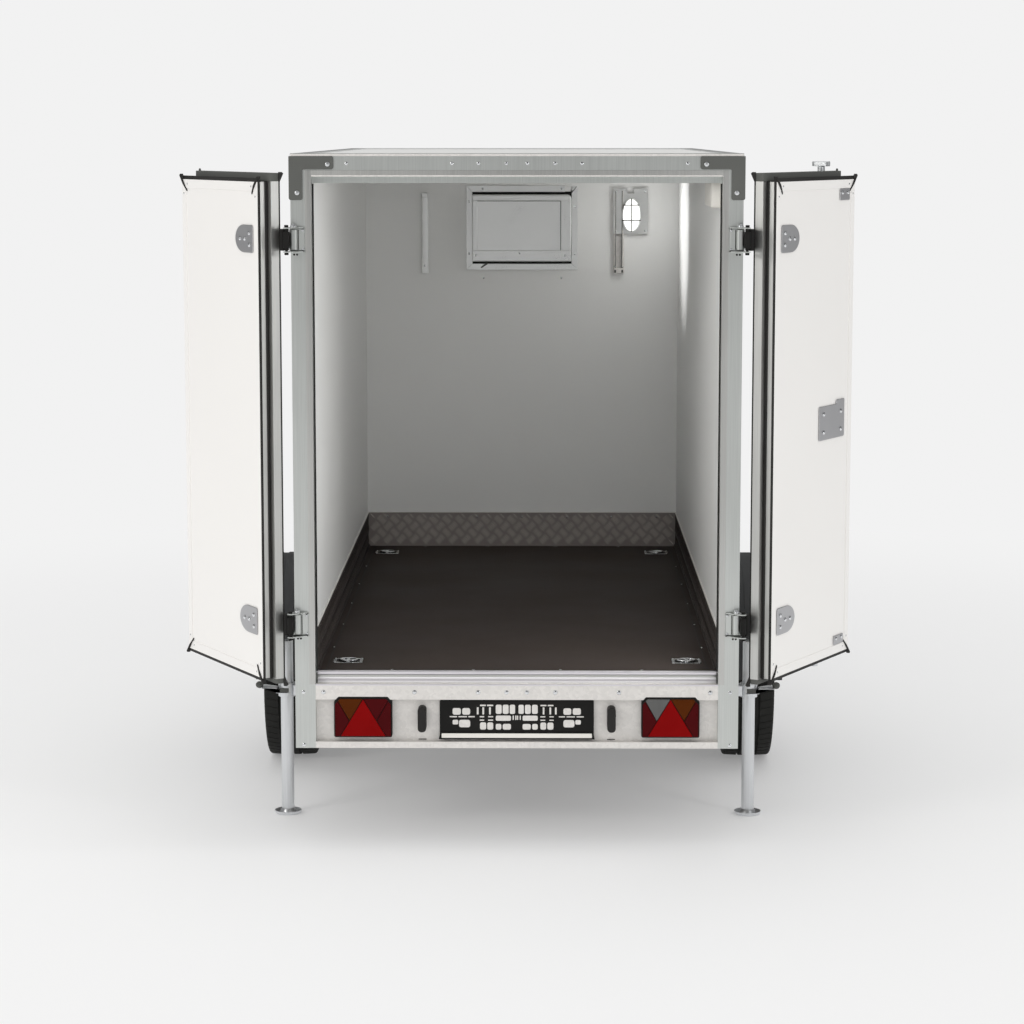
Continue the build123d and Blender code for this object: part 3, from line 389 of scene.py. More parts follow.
finish("zinc_bright", "fine_grain", colour(214, 216, 218), colour(236, 238, 240), (0.14, 0.24),
       (0.02, 0.0003), edge=colour(244, 244, 244), Metallic=1.0)
finish("galvanised", "zinc_crystals", colour(214, 211, 207), colour(236, 233, 229), (0.38, 0.54),
       (0.02, 0.0004), group_in={"Size": 95.0}, Metallic=0.4)
finish("axle_steel", "zinc_crystals", colour(150, 150, 148), colour(190, 190, 188), (0.42, 0.60),
       (0.04, 0.0005), group_in={"Size": 120.0}, Metallic=0.85)
print("metals", len(FINISH))

# %% Chequer plate
# The skirting is dull rolled plate, and its raised bars are coloured lighter than the plate. Along
# the sides it is nearly black, which is taken for a protective film and is a guess. Along the
# sides plate and bars take a nearly black finish, which is painted shade and the painted
# reflection of the dark floor.
finish("chequer_plate", "fine_grain", colour(138, 131, 127), colour(160, 152, 148), (0.40, 0.55),
       (0.06, 0.0004), Metallic=0.2)
finish("chequer_bars", "fine_grain", colour(206, 198, 194), colour(228, 220, 216), (0.34, 0.48),
       (0.06, 0.0004), Metallic=0.25)
finish("chequer_dark_shade", "fine_grain", colour(48, 44, 42), colour(62, 57, 54), (0.46, 0.62),
       (0.06, 0.0004), edge=colour(86, 80, 77), Specular_IOR_Level=0.15)

# %% Laminate, paint and board
# Glass-fibre laminate is nearly flat, with a faint orange peel that breaks up reflections.
finish("wall_skin", "fine_grain", colour(238, 238, 236), colour(240, 240, 238), (0.38, 0.42),
       (0.03, 0.0004), group_in={"Frequency": 260.0, "Patches": 1.2}, Specular_IOR_Level=0.35)
finish("door_skin", "fine_grain", colour(240, 238, 235), colour(243, 241, 238), (0.36, 0.42),
       (0.03, 0.0004), group_in={"Frequency": 260.0, "Patches": 1.2}, Specular_IOR_Level=0.4)
finish("unit_shell", "fine_grain", colour(228, 229, 228), colour(238, 238, 237), (0.28, 0.38),
       (0.06, 0.0005), group_in={"Frequency": 260.0}, Coat_Weight=0.3)
finish("cream_plastic", "fine_grain", colour(222, 219, 212), colour(232, 229, 222), (0.38, 0.48),
       (0.06, 0.0004), radius=0.002)
finish("rim_paint", "fine_grain", colour(186, 188, 190), colour(206, 208, 210), (0.26, 0.36),
       (0.03, 0.0004), group_in={"Frequency": 600.0}, Metallic=0.8, Coat_Weight=0.5)
finish("coupling_steel", "fine_grain", colour(34, 34, 36), colour(52, 52, 54), (0.30, 0.44),
       (0.10, 0.0005), edge=colour(86, 86, 88), group_in={"Frequency": 700.0}, Coat_Weight=0.2)
finish("floor_board", "fine_grain", colour(56, 49, 46), colour(64, 56, 52), (0.50, 0.64),
       (0.12, 0.0005), group_in={"Frequency": 420.0, "Patches": 2.2}, Specular_IOR_Level=0.08)

# %% Plastics and rubber
# Black parts mirror the pale studio even at a few per cent, so their gloss is kept low.
finish("dark_plastic", "fine_grain", colour(84, 85, 82), colour(96, 97, 94), (0.46, 0.58),
       (0.10, 0.0004), edge=colour(126, 126, 124), Specular_IOR_Level=0.2)
finish("black_plastic", "fine_grain", colour(22, 22, 21), colour(34, 33, 32), (0.40, 0.55),
       (0.12, 0.0004), edge=colour(60, 60, 60), Specular_IOR_Level=0.12)
finish("black_rubber", "fine_grain", colour(38, 37, 36), colour(54, 53, 52), (0.50, 0.68),
       (0.20, 0.0005), edge=colour(76, 76, 74), group_in={"Frequency": 1200.0},
       Specular_IOR_Level=0.15)
finish("mudguard_plastic", "fine_grain", colour(48, 49, 50), colour(62, 63, 64), (0.46, 0.60),
       (0.30, 0.0006), edge=colour(92, 92, 94), group_in={"Frequency": 520.0},
       Specular_IOR_Level=0.25)
finish("tyre_rubber", "fine_grain", colour(34, 34, 33), colour(47, 47, 45), (0.60, 0.76),
       (0.24, 0.0006), edge=colour(60, 59, 57), group_in={"Frequency": 1500.0, "Patches": 7.0},
       Specular_IOR_Level=0.15)
finish("solid_rubber", "fine_grain", colour(34, 34, 34), colour(52, 52, 50), (0.54, 0.70),
       (0.20, 0.0005), edge=colour(76, 76, 74), group_in={"Frequency": 1500.0},
       Specular_IOR_Level=0.2)
print("finishes", len(FINISH))

# %% Lamp lenses
# A lens is clear dyed acrylic over a silvered bowl. Rows of small prisms inside break up the
# view, which a fine brick-shaped bump shows. Dyed lenses mirror little, so colour stays deep.
def lens(slot, tint, deep):
    """Dyed acrylic with prisms: a tint that darkens between the prisms."""
    tree, shader = principled(slot)
    spot = node(tree, "TexCoord")
    lie = node(tree, "Mapping", {"Vector": spot.outputs["Object"],
                                 "Rotation": (radians(90.0), 0.0, 0.0)})
    prism = node(tree, "TexBrick", {"Vector": lie.outputs[0], "Scale": 1.0, "Brick Width": 0.006,
                                    "Row Height": 0.004, "Mortar Size": 0.0006,
                                    "Mortar Smooth": 1.0}, offset=0.0)
    patch = node(tree, "TexNoise", {"Vector": spot.outputs["Object"], "Scale": 14.0})
    depth = node(tree, "Mix", {0: patch.outputs[0], 6: deep, 7: tint}, data_type="RGBA")
    cell = node(tree, "Mix", {0: prism.outputs["Fac"], 6: depth.outputs[2], 7: deep},
                data_type="RGBA")
    relief = node(tree, "Bump", {"Height": prism.outputs["Fac"], "Strength": 0.25,
                                 "Distance": 0.0006})
    tree.links.new(cell.outputs[2], shader.inputs["Base Color"])
    tree.links.new(relief.outputs[0], shader.inputs["Normal"])
    shader.inputs["Roughness"].default_value = 0.30
    shader.inputs["Specular IOR Level"].default_value = 0.06


lens("lamp_red", colour(136, 3, 4), colour(116, 1, 2))
lens("lamp_dark_red", colour(80, 8, 12), colour(62, 5, 8))
lens("lamp_amber", colour(88, 40, 4), colour(70, 30, 2))
lens("lamp_clear", colour(112, 112, 110), colour(84, 84, 84))
print("lenses", [k for k in FINISH if k.startswith("lamp")])

# %% Lit glass
# The inside lamp is on. Its frosted bowl is brightest in the middle, where the bulb sits.
tree, shader = principled("lamp_glass")
facing = node(tree, "LayerWeight", {"Blend": 0.35})
ring = node(tree, "MapRange", {"Value": facing.outputs["Facing"], "To Min": 1.0, "To Max": 0.75})
warm = node(tree, "Mix", {0: ring.outputs["Result"], 6: colour(235, 238, 240), 7: colour(255, 255, 252)},
            data_type="RGBA")
tree.links.new(warm.outputs[2], shader.inputs["Base Color"])
tree.links.new(warm.outputs[2], shader.inputs["Emission Color"])
shader.inputs["Emission Strength"].default_value = 1.3
shader.inputs["Roughness"].default_value = 0.2

# %% [markdown]
# ## Dressing the model's own parts
#
# Walls, rails and tubes already have the right shape in the model, so they keep it and only
# get their finish. The record names a finish for every node, which a short loop can follow.

# %% Finishes on the model
SLOT_OF = {part["node"]: part["material_slot"] for part in frame["record"]["subparts"]}
for name, slot in SLOT_OF.items():
    part = frame["nodes"][name]
    part.data.materials.clear()
    part.data.materials.append(FINISH[slot])
print("dressed", len(SLOT_OF), "nodes")

# %% [markdown]
# ## Shapes as arrays
#
# Every new piece is drawn in millimetres from the middle of the trailer's rear face, with Z up
# from the ground. A shape is an array of points and a list of face arrays. Most real parts are
# a closed outline carried along a line, or a profile turned about an axis, so a few functions
# on whole arrays make nearly all of them. Loops run over corners, rings and parts, and never
# over the vertices of a surface.

# %% Grids, shells and their direction
def quads(rows, cols, close_rows=False, close_cols=False):
    """Faces of a grid numbered row by row; a closed direction joins its last line to its first."""
    i = np.arange(rows if close_rows else rows - 1)[:, None]
    j = np.arange(cols if close_cols else cols - 1)[None, :]
    down, right = (i + 1) % rows, (j + 1) % cols
    square = np.broadcast_arrays(i * cols + j, i * cols + right, down * cols + right, down * cols + j)
    return np.stack(square, -1).reshape(-1, 4)


def volume(shape):
    """Signed volume: each face is a fan, and each triangle of it spans a tetrahedron with 0."""
    points, groups = shape
    total = 0.0
    for faces in groups:
        first = points[faces[:, 0]]
        for k in range(1, faces.shape[1] - 1):
            edge = np.cross(points[faces[:, k]], points[faces[:, k + 1]])
            total += (first * edge).sum() / 6
    return total


def outward(shape):
    """The same shell with its faces pointing out, which is where its volume is positive."""
    points, groups = shape
    return shape if volume(shape) > 0 else (points, [faces[:, ::-1] for faces in groups])


def skin(rings, closed=False):
    """A shell over rings[ring, point, xyz]: flat ends, or the last ring joined to the first."""
    count, around = rings.shape[:2]
    groups = [quads(count, around, closed, True)]
    if not closed:
        groups.append(np.stack([np.arange(around)[::-1], np.arange(around) + (count - 1) * around]))
    return outward((rings.reshape(-1, 3), groups))


def joined(*shapes):
    """Several shapes as one, their face numbers shifted past the points before them."""
    starts = np.cumsum([0] + [len(points) for points, _ in shapes[:-1]])
    groups = [faces + start for (_, parts), start in zip(shapes, starts) for faces in parts]
    return np.concatenate([points for points, _ in shapes]), groups


def copies(shape, places):
    """The shape at each place: points and faces are added by broadcasting, not one by one."""
    points, groups = shape
    places = np.asarray(places, float)
    spread = (places[:, None, :] + points[None]).reshape(-1, 3)
    step = (np.arange(len(places)) * len(points))[:, None, None]
    return spread, [(faces[None] + step).reshape(-1, faces.shape[1]) for faces in groups]


def moved(shape, by, matrix=np.eye(3)):
    """Turned by a 3 x 3 matrix and then shifted."""
    return shape[0] @ np.asarray(matrix, float).T + by, shape[1]


def mirrored(shape):
    """The left-hand twin: X changes sign, and the faces are turned round to stay outward."""
    return shape[0] * (-1.0, 1.0, 1.0), [faces[:, ::-1] for faces in shape[1]]


def paired(shape):
    """A shape of the right-hand side together with its left-hand twin."""
    return joined(shape, mirrored(shape))


def facing(shape, origin, normal, up=(0.0, 0.0, 1.0)):
    """Lays a shape drawn on the XY plane onto a face: Y becomes up, and Z stands off the face."""
    right = np.cross(up, normal)
    return moved(shape, origin, np.stack([right, up, normal], 1))


# %% Outlines
def rounded(points, radii, steps=5):
    """A polygon with arcs for corners: each arc swings from one tangent point to the other."""
    corners = np.asarray(points, float)
    radii = np.broadcast_to(radii, len(corners))
    outline = []
    for before, corner, after, radius in zip(np.roll(corners, 1, 0), corners,
                                             np.roll(corners, -1, 0), radii):
        u = (before - corner) / np.linalg.norm(before - corner)
        v = (after - corner) / np.linalg.norm(after - corner)
        half = np.arccos(np.clip(u @ v, -1, 1)) / 2
        if radius == 0:
            outline.append(corner[None])
            continue
        centre = corner + (u + v) / np.linalg.norm(u + v) * radius / sin(half)
        a, b = corner + u * radius / tan(half) - centre, corner + v * radius / tan(half) - centre
        swing, t = pi - 2 * half, np.linspace(0, 1, steps)[:, None]
        outline.append(centre + (np.sin((1 - t) * swing) * a + np.sin(t * swing) * b) / sin(swing))
    return np.concatenate(outline)


def rectangle(x0, x1, y0, y1, radius=0.0, steps=4):
    """The outline of a rectangle, its corners rounded by one radius."""
    return rounded([(x0, y0), (x1, y0), (x1, y1), (x0, y1)], radius, steps)


def oval(x, y, wide, high, count=32):
    """Half-width times cosine and half-height times sine, about a centre."""
    turn = np.linspace(0, 2 * pi, count, endpoint=False)
    return np.stack([x + wide * np.cos(turn), y + high * np.sin(turn)], 1)


def inset(outline, by):
    """Each point moves inward along the mean of its two edges' normals, so edges stay parallel."""
    edge = np.roll(outline, -1, 0) - outline
    edge /= np.linalg.norm(edge, axis=1)[:, None]
    normal = np.stack([-edge[:, 1], edge[:, 0]], 1)
    mean = normal + np.roll(normal, 1, 0)
    return outline + by * 2 * mean / (mean * mean).sum(1)[:, None]


def at_height(outline, z):
    """The outline's points, all at one height."""
    return np.column_stack([outline, np.full(len(outline), float(z))])


# %% Plates, turned parts and bars
def plate(outline, low, high, edge=0.6):
    """An outline given thickness, with a small chamfer round both faces."""
    small = inset(outline, edge)
    return skin(np.stack([at_height(small, low), at_height(outline, low + edge),
                          at_height(outline, high - edge), at_height(small, high)]))


def block(x0, x1, y0, y1, z0, z1, radius=1.5, edge=0.8):
    """A bar or box with rounded upright corners and chamfered ends."""
    return plate(rectangle(x0, x1, y0, y1, radius), z0, z1, edge)


def turned(profile, sides=32, closed=False):
    """A profile of (radius, height) pairs turned about Z."""
    radius, height = np.asarray(profile, float).T
    turn = np.linspace(0, 2 * pi, sides, endpoint=False)
    rings = np.stack([radius[:, None] * np.cos(turn), radius[:, None] * np.sin(turn),
                      np.repeat(height[:, None], sides, 1)], -1)
    return skin(rings, closed)


def along(path, outline, up, closed=False):
    """An outline carried along a path: its X goes sideways and its Y towards up."""
    path = np.asarray(path, float)
    ahead = np.roll(path, -1, 0) - np.roll(path, 1, 0) if closed else np.gradient(path, axis=0)
    ahead /= np.linalg.norm(ahead, axis=1)[:, None]
    side = np.cross(ahead, up)
    side /= np.linalg.norm(side, axis=1)[:, None]
    top = np.cross(side, ahead)
    rings = (path[:, None] + outline[None, :, :1] * side[:, None]
             + outline[None, :, 1:] * top[:, None])
    return skin(rings, closed)


def rod(start, end, radius, sides=20, edge=0.8):
    """A round bar between two points, with chamfered ends."""
    start, end = np.asarray(start, float), np.asarray(end, float)
    length = np.linalg.norm(end - start)
    axis = (end - start) / length
    across = np.cross(axis, (0.0, 0.0, 1.0) if abs(axis[2]) < 0.9 else (1.0, 0.0, 0.0))
    across /= np.linalg.norm(across)
    bar = turned([(radius - edge, 0), (radius, edge), (radius, length - edge),
                  (radius - edge, length)], sides)
    return moved(bar, start, np.stack([across, np.cross(axis, across), axis], 1))


def dome(radius, height):
    """A domed rivet or bolt head: nearly a quarter circle turned about Z."""
    turn = np.linspace(0, 0.47 * pi, 5)
    crown = np.stack([radius * np.cos(turn), height * (0.2 + 0.8 * np.sin(turn))], 1)
    return turned(np.concatenate([[(radius, 0.0)], crown]), 14)


def hexagon(radius, height):
    """A six-sided head with a chamfered top."""
    return turned([(radius, 0), (radius, height * 0.75), (radius * 0.84, height)], 6)


# %% One piece of the trailer
def piece(name, shape, body, slot, *replaced, finish_as=None, sharp=32.0):
    """Makes the object: metres in the frame, its finish, the body it rides on, what it replaces."""
    points, groups = shape
    mesh = bpy.data.meshes.new(name)
    mesh.from_pydata(placed(points).tolist(), [], sum([faces.tolist() for faces in groups], []))
    mesh.shade_smooth()
    mesh.set_sharp_from_angle(angle=radians(sharp))
    mesh.materials.append(FINISH[finish_as or slot])
    made = bpy.data.objects.new(name, mesh)
    bpy.context.scene.collection.objects.link(made)
    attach(made, body)
    if replaced:
        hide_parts(*replaced)
    print(f"{name}: {sum(len(f) * (f.shape[1] - 2) for f in groups)} triangles")
    return made


BACK, FRONT, RIGHT, LEFT = (0.0, -1.0, 0.0), (0.0, 1.0, 0.0), (1.0, 0.0, 0.0), (-1.0, 0.0, 0.0)
UP = (0.0, 0.0, 1.0)

# %% [markdown]
# ## The rear frame
#
# Two posts and a lintel are welded into a frame that carries the doors. Dark plates cover the
# upper corners, a bright bead runs along the top, and a black line runs down the inside of each
# post. A thin lip along the lintel's lower edge has a brighter finish, which is a painted
# highlight on that edge. The frame's screws are copies of a domed head.

# %% Measures of the rear
_, (HALF, _, ROOF) = drawn("rear_frame")
OPENING = drawn("side_wall_right")[0][0]
LINTEL = drawn("corner_brackets")[0][2] + 78.0
FLOOR = drawn("floor")[1][2]
print("posts", round(HALF), "opening", round(OPENING), "lintel", round(LINTEL), "floor", round(FLOOR))

# %% Corner plates
(_, _, low), (out, _, high) = drawn("corner_brackets")
arm = 44.0
elbow = [(out, low), (out, high), (613.0, high), (613.0, high - arm), (out - arm - 2, high - arm),
         (out - arm - 2, low)]
corner = plate(rounded(elbow, (7, 2, 8, 8, 5, 7)), 0.0, 5.0, 1.0)
piece("corner_plates", paired(facing(corner, (0, 0, 0), BACK)), "trailer", "dark_plastic",
      "corner_brackets")
heads = facing(copies(dome(8.0, 3.5), [(633, high - 27, 5), (out - 28, low + 24, 5)]), (0, 0, 0), BACK)
piece("corner_rivets", paired(heads), "trailer", "zinc_steel")

# %% Beads, rubber lines and screws
bead = block(-HALF + 1, HALF - 1, -2.5, 0.0, ROOF - 9, ROOF - 1.5, 1.0, 0.7)
# The lip's bright finish is a painted highlight along the lintel's lower edge.
lintel_highlight = block(-OPENING + 1, OPENING - 1, -2.0, 0.0, LINTEL, LINTEL + 5, 0.8, 0.6)
piece("frame_bead_and_highlight", joined(bead, lintel_highlight), "trailer", "profile_aluminium", finish_as="galvanised")
# A black strip runs down the inside of each post.
line = block(OPENING - 4.5, OPENING, 40.0, 58.0, FLOOR + 1, LINTEL - 24, 1.2, 0.8)
piece("post_black_lines", paired(line), "trailer", "black_rubber")
BAND = 21.0
sides = block(OPENING, OPENING + BAND, -1.2, 0.0, FLOOR - 38, LINTEL + BAND, 0.5, 0.3)
top = block(-OPENING, OPENING, -1.2, 0.0, LINTEL + 5, LINTEL + BAND, 0.5, 0.3)
piece("frame_bands", joined(paired(sides), top), "trailer", "profile_aluminium",
      finish_as="door_aluminium")
screws = [(x, ROOF - 33, 0) for x in (-570, -217, -128, -35, 35, 128, 217, 570)]
piece("lintel_screws", facing(copies(dome(5.5, 2.2), screws), (0, 0, 0), BACK), "trailer",
      "zinc_bright")

# %% [markdown]
# ## Sill and rear crossmember
#
# The threshold is an extrusion: one ribbed profile along the whole width. Ribs shed water and
# catch the light as bright lines, so the profile's grooves are real and their corners rounded.
# The brightest lines are also painted on as near-white strips, and a darker strip in the recess
# under the top is painted shade.

# %% Sill profile
(_, sill_front, sill_low), (_, sill_back, sill_top) = drawn("sill")
section = [(sill_back, sill_low), (sill_back, sill_top)]
for y in (sill_front + 13, sill_front + 5):
    section += [(y + 4, sill_top), (y + 3.4, sill_top - 2), (y + 0.6, sill_top - 2), (y, sill_top)]
section += [(sill_front + 0.5, sill_top), (sill_front, sill_top - 2), (sill_front, sill_top - 10),
            (sill_front + 3, sill_top - 11.5), (sill_front + 3, sill_top - 20.5),
            (sill_front - 1.5, sill_top - 23), (sill_front - 1.5, sill_low + 9),
            (sill_front, sill_low + 7), (sill_front, sill_low)]
profile = rounded(section, 0.5, 3)
ends = np.stack([np.column_stack([np.full(len(profile), x), profile])
                 for x in (-OPENING, -OPENING + 1, OPENING - 1, OPENING)])
piece("sill_profile", skin(ends), "trailer", "sill_aluminium", "sill", sharp=25.0)
# Near-white strips along the top edge, the nose and the foot of the profile are painted highlights.
lines = [block(-OPENING + 5, OPENING - 5, sill_front - low, sill_front + 6, z0, z1, 0.6, 0.5)
         for low, z0, z1 in ((-1.5, sill_top - 1.6, sill_top + 0.4), (2.2, sill_top - 25, sill_top - 19),
                             (2.2, sill_low, sill_low + 5.5))]
piece("sill_highlight_strips", joined(*lines), "trailer", "sill_aluminium", finish_as="sill_painted_highlight")
# A darker strip fills the recess under the top edge: painted shade.
groove_shade = block(-OPENING + 5, OPENING - 5, sill_front - 0.4, sill_front + 4, sill_top - 19, sill_top - 12,
               0.3, 0.2)
piece("sill_groove_shade", groove_shade, "trailer", "sill_aluminium", finish_as="door_aluminium")
blocks = block(OPENING - 5, OPENING, 20.0, sill_front, sill_low, sill_top - 4, 1.0, 0.8)
piece("sill_end_blocks", paired(blocks), "trailer", "dark_plastic")
fold = block(-OPENING, OPENING, -1.4, 2.0, sill_low - 4, sill_low + 0.8, 1.6, 0.7)
piece("crossmember_fold", fold, "trailer", "galvanised", finish_as="sill_aluminium")

# %% Bolts of the crossmember
row = [(x, sill_low - 27, 0) for x in (-662, -350, -132, -35, 35, 132, 350, 662)]
feet = [(side * 730, z, 0) for side in (-1, 1) for z in (sill_low - 27, sill_low - 211)]
heads = facing(joined(copies(dome(8.0, 4.0), row), copies(dome(6.5, 3.0), feet)), (0, 0, 0), BACK)
piece("crossmember_bolts", heads, "trailer", "zinc_bright")
slots = [plate(rectangle(x - 14, x + 14, 362, 365, 1.4), 0.0, 0.6, 0.2) for x in (-324, 324)]
piece("drain_slots", facing(joined(*slots), (0, 29.5, 0), BACK), "trailer", "black_plastic")

# %% [markdown]
# ## Tail lamps
#
# Each lamp is a black tray with a faceted lens. The law asks for a red triangle on a trailer,
# and it fills the middle. Amber, clear and dark red windows fit round it. Each window is its
# own thin plate, so that a dark joint shows between them, as between moulded colours. The
# clear window is the right-hand lamp's alone: on the left, dark red takes its place.

# %% Lamp trays and windows
lamp_x = (427.0, 626.0)
lamp_z = (376.0, 514.0)
tray_line = [(lamp_x[0], lamp_z[0]), (lamp_x[1], lamp_z[0]), (lamp_x[1], lamp_z[1] - 14),
             (lamp_x[1] - 15, lamp_z[1] + 3), (lamp_x[0] + 15, lamp_z[1] + 3),
             (lamp_x[0], lamp_z[1] - 14)]
tray = plate(rounded(tray_line, (6, 6, 8, 6, 6, 8)), -30.0, 1.6, 1.4)
piece("lamp_trays", paired(facing(tray, (0, 0, 0), BACK)), "trailer", "lamp_red", "tail_lamps",
      finish_as="black_plastic")

X0, X1, Z0, Z1 = lamp_x[0] + 3, lamp_x[1] - 3, lamp_z[0] + 3, lamp_z[1] - 3
middle = (X0 + X1) / 2
apex, left_foot, right_foot = (middle, Z1), (middle - 79, Z0), (middle + 79, Z0)


def on_line(a, b, z):
    """The point of a line at a height."""
    share = (z - a[1]) / (b[1] - a[1])
    return a[0] + (b[0] - a[0]) * share, z


wedge_foot_l, wedge_foot_r = on_line(apex, left_foot, 433.0), on_line(apex, right_foot, 433.0)
windows = {
    "triangle": ("lamp_red", [left_foot, right_foot, apex]),
    "wedge_outer": ("lamp_amber", [wedge_foot_r, (X1 - 10, Z1 - 7), (X1 - 18, Z1), apex]),
    "wedge_inner": ("lamp_clear", [wedge_foot_l, apex, (X0 + 18, Z1), (X0 + 10, Z1 - 7)]),
    "side_outer": ("lamp_dark_red", [right_foot, (X1, Z0), (X1, Z1 - 20), (X1 - 10, Z1 - 7),
                                     wedge_foot_r]),
    "side_inner": ("lamp_dark_red", [left_foot, wedge_foot_l, (X0 + 10, Z1 - 7), (X0, Z1 - 20),
                                     (X0, Z0)]),
}
for label, (kind, points) in windows.items():
    window = facing(plate(inset(rounded(points, 1.5, 3), 1.1), 1.0, 6.0, 1.0), (0, 0, 0), BACK)
    clear = kind == "lamp_clear"
    slot = "lamp_red" if "red" in kind else "lamp_amber"
    piece("lamp_right_" + label, window, "trailer", slot, finish_as=kind)
    piece("lamp_left_" + label, mirrored(window), "trailer", "lamp_red" if clear else slot,
          finish_as="lamp_dark_red" if clear else kind)

# %% Plate holder
def window(x0, x1, z0, z1):
    """A rounded opening and its twin on the other side, as two outlines."""
    right = rectangle(x0, x1, z0, z1, min(x1 - x0, z1 - z0) * 0.25, 3)
    return [right, right * (-1, 1)]


(_, _, plate_low), (plate_half, _, plate_high) = drawn("plate_holder")
panel = rounded([(-plate_half, plate_low), (plate_half, plate_low), (plate_half, plate_high),
                 (-plate_half, plate_high)], (2, 2, 9, 9))
piece("plate_panel", facing(plate(panel, -30.0, -15.5, 1.5), (0, 0, 0), BACK), "trailer",
      "black_plastic", "plate_holder")
spans = [(192, 220, 458, 481), (160, 187, 458, 481), (205, 230, 449, 453), (171, 200, 449, 453),
         (144, 166, 449, 453), (201, 220, 424, 440), (160, 198, 414, 440), (106, 126, 488, 493),
         (81, 102, 488, 493), (131, 137, 459, 484), (112, 118, 459, 484), (89, 95, 459, 484),
         (112, 127, 449, 453), (81, 98, 449, 453), (112, 127, 437, 441), (81, 98, 437, 441),
         (52, 72, 461, 493), (28, 48, 461, 493), (6, 24, 461, 493), (20, 72, 437, 455),
         (10, 14, 440, 455), (1, 5, 440, 455), (105, 126, 406, 431), (81, 101, 406, 431),
         (53, 72, 406, 426), (20, 48, 406, 426)]
tiles = [plate(outline, 0.0, 0.5, 0.2) for span in spans for outline in window(*span)]
piece("plate_openings", facing(joined(*tiles), (0, 15.5, -6), BACK), "trailer", "galvanised")
foot = [(-plate_half - 4, plate_low - 6), (plate_half + 4, plate_low - 6),
        (plate_half - 3, plate_low + 18), (-plate_half + 3, plate_low + 18)]
bar = facing(plate(rounded(foot, (3, 3, 4, 4)), 0.0, 6.0, 1.5), (0, 15.0, 0), BACK)
piece("plate_strip", bar, "trailer", "black_plastic")
blank = facing(plate(rectangle(-258, 258, plate_low - 1, plate_low + 15, 2), 0.0, 0.6, 0.3),
               (0, 9.0, 0), BACK)
piece("plate_strip_face", blank, "trailer", "cream_plastic")

# %% Rubber buffers
(_, _, low), (_, _, high) = drawn("rubber_buffers")
pill = rectangle(310, 339, low, high - 7, 13, 7)
steps = [(0.0, -30.0), (0.0, 14.0)] + [(8 * (1 - cos(a)), 14 + 8 * sin(a))
                                       for a in np.linspace(0.3, 1.5, 5)]
rings = np.stack([at_height(inset(pill, by), z) for by, z in steps])
piece("buffer_pads", paired(facing(skin(rings), (0, 0, 0), BACK)), "trailer", "black_rubber",
      "rubber_buffers")

# %% [markdown]
# ## The doors
#
# Each door is a sandwich leaf in an extruded edge frame. Two rubber lips run round the part that
# enters the opening and a third runs round the outer flange. Each lip is one section carried
# round a rounded rectangle. All of it is drawn on the closed right-hand door, then swung open
# with it and mirrored for the other side.

# %% Where the doors stand
swing_joint = next(j for j in frame["joints"] if j["name"] == "door_right_hinge")
open_by = -radians(swing_joint["range_deg"][0])
HINGE = (np.array(swing_joint["pos_m"]) - (0.0, REAR, 0.0)) / MM * (1, 1, 0)
TURN = np.array([[cos(open_by), -sin(open_by), 0.0], [sin(open_by), cos(open_by), 0.0],
                 [0.0, 0.0, 1.0]])
SKIN, OUTER, STEP, MIDDLE, INNER, FACE = -39.0, -33.0, -5.0, 5.0, 21.0, 31.0
PLUG_X, PLUG_Z, LIP_Z = (8.0, 680.0), (577.0, 2268.0), (565.0, 2281.0)
FLANGE_X, FLANGE_Z = (4.0, 710.0), (560.0, 2298.0)


def swung(shape):
    """A shape drawn on the closed door, turned about the hinge pin to where the door stands."""
    return moved(moved(shape, -HINGE), HINGE, TURN)


def on_doors(name, shape, slot, *nodes, left=True, **extra):
    """The piece on the right door and its mirror image on the left one; nodes are name endings."""
    opened = swung(shape)
    sides = ("right", "left") if left else ("right",)
    for side in sides:
        body = "door_" + side
        twin = opened if side == "right" else mirrored(opened)
        own = [body + "_" + ending for ending in nodes]
        piece(name + "_" + side, twin, body, slot, *own, **extra)


print("doors stand open by", round(degrees(open_by)), "degrees about", HINGE.round(1))

# %% Door gaskets
def gasket(x, z, seat_x, seat_z, y0, y1, bulge):
    """A rubber ring between two rectangles; its outer side bulges as half an ellipse."""
    rim, seat = rectangle(*x, *z, 4.0), rectangle(*seat_x, *seat_z, 1.0)
    steps = [(inset(rim, bulge * (1 - cos(a))), (y0 + y1) / 2 + (y1 - y0) / 2 * sin(a))
             for a in np.linspace(-pi / 2, pi / 2, 9)]
    steps += [(seat, y1), (seat, y0)]
    rings = np.stack([np.column_stack([line[:, 0], np.full(len(line), y), line[:, 1]])
                      for line, y in steps], 1)
    return skin(rings, closed=True)


def grown(span, by):
    """The span made longer by the same amount at both ends."""
    return span[0] - by, span[1] + by


SEAT = 9.0
rings = [gasket(grown(PLUG_X, 3), grown(PLUG_Z, 3), grown(PLUG_X, -SEAT), grown(PLUG_Z, -SEAT),
                STEP, MIDDLE, 2.5),
         gasket(grown(PLUG_X, 3), LIP_Z, grown(PLUG_X, -SEAT), grown(PLUG_Z, -SEAT),
                INNER, FACE - 1, 2.5),
         gasket(FLANGE_X, FLANGE_Z, grown(FLANGE_X, -SEAT), grown(FLANGE_Z, -SEAT),
                SKIN, OUTER, 1.5)]
on_doors("door_gaskets", joined(*rings), "black_rubber", "seal")
caps = [block(44.0, FLANGE_X[1], OUTER, STEP, 2270.0, FLANGE_Z[1], 3.0, 1.5),
        block(*FLANGE_X, OUTER, STEP, FLANGE_Z[0], PLUG_Z[0], 3.0, 1.5),
        moved(turned([(4, 0), (4, 5), (2.5, 8), (0.1, 8), (0.1, 0)][::-1], 12), (52, -18, FLANGE_Z[1]))]
on_doors("door_caps", joined(*caps), "black_rubber", finish_as="dark_plastic")

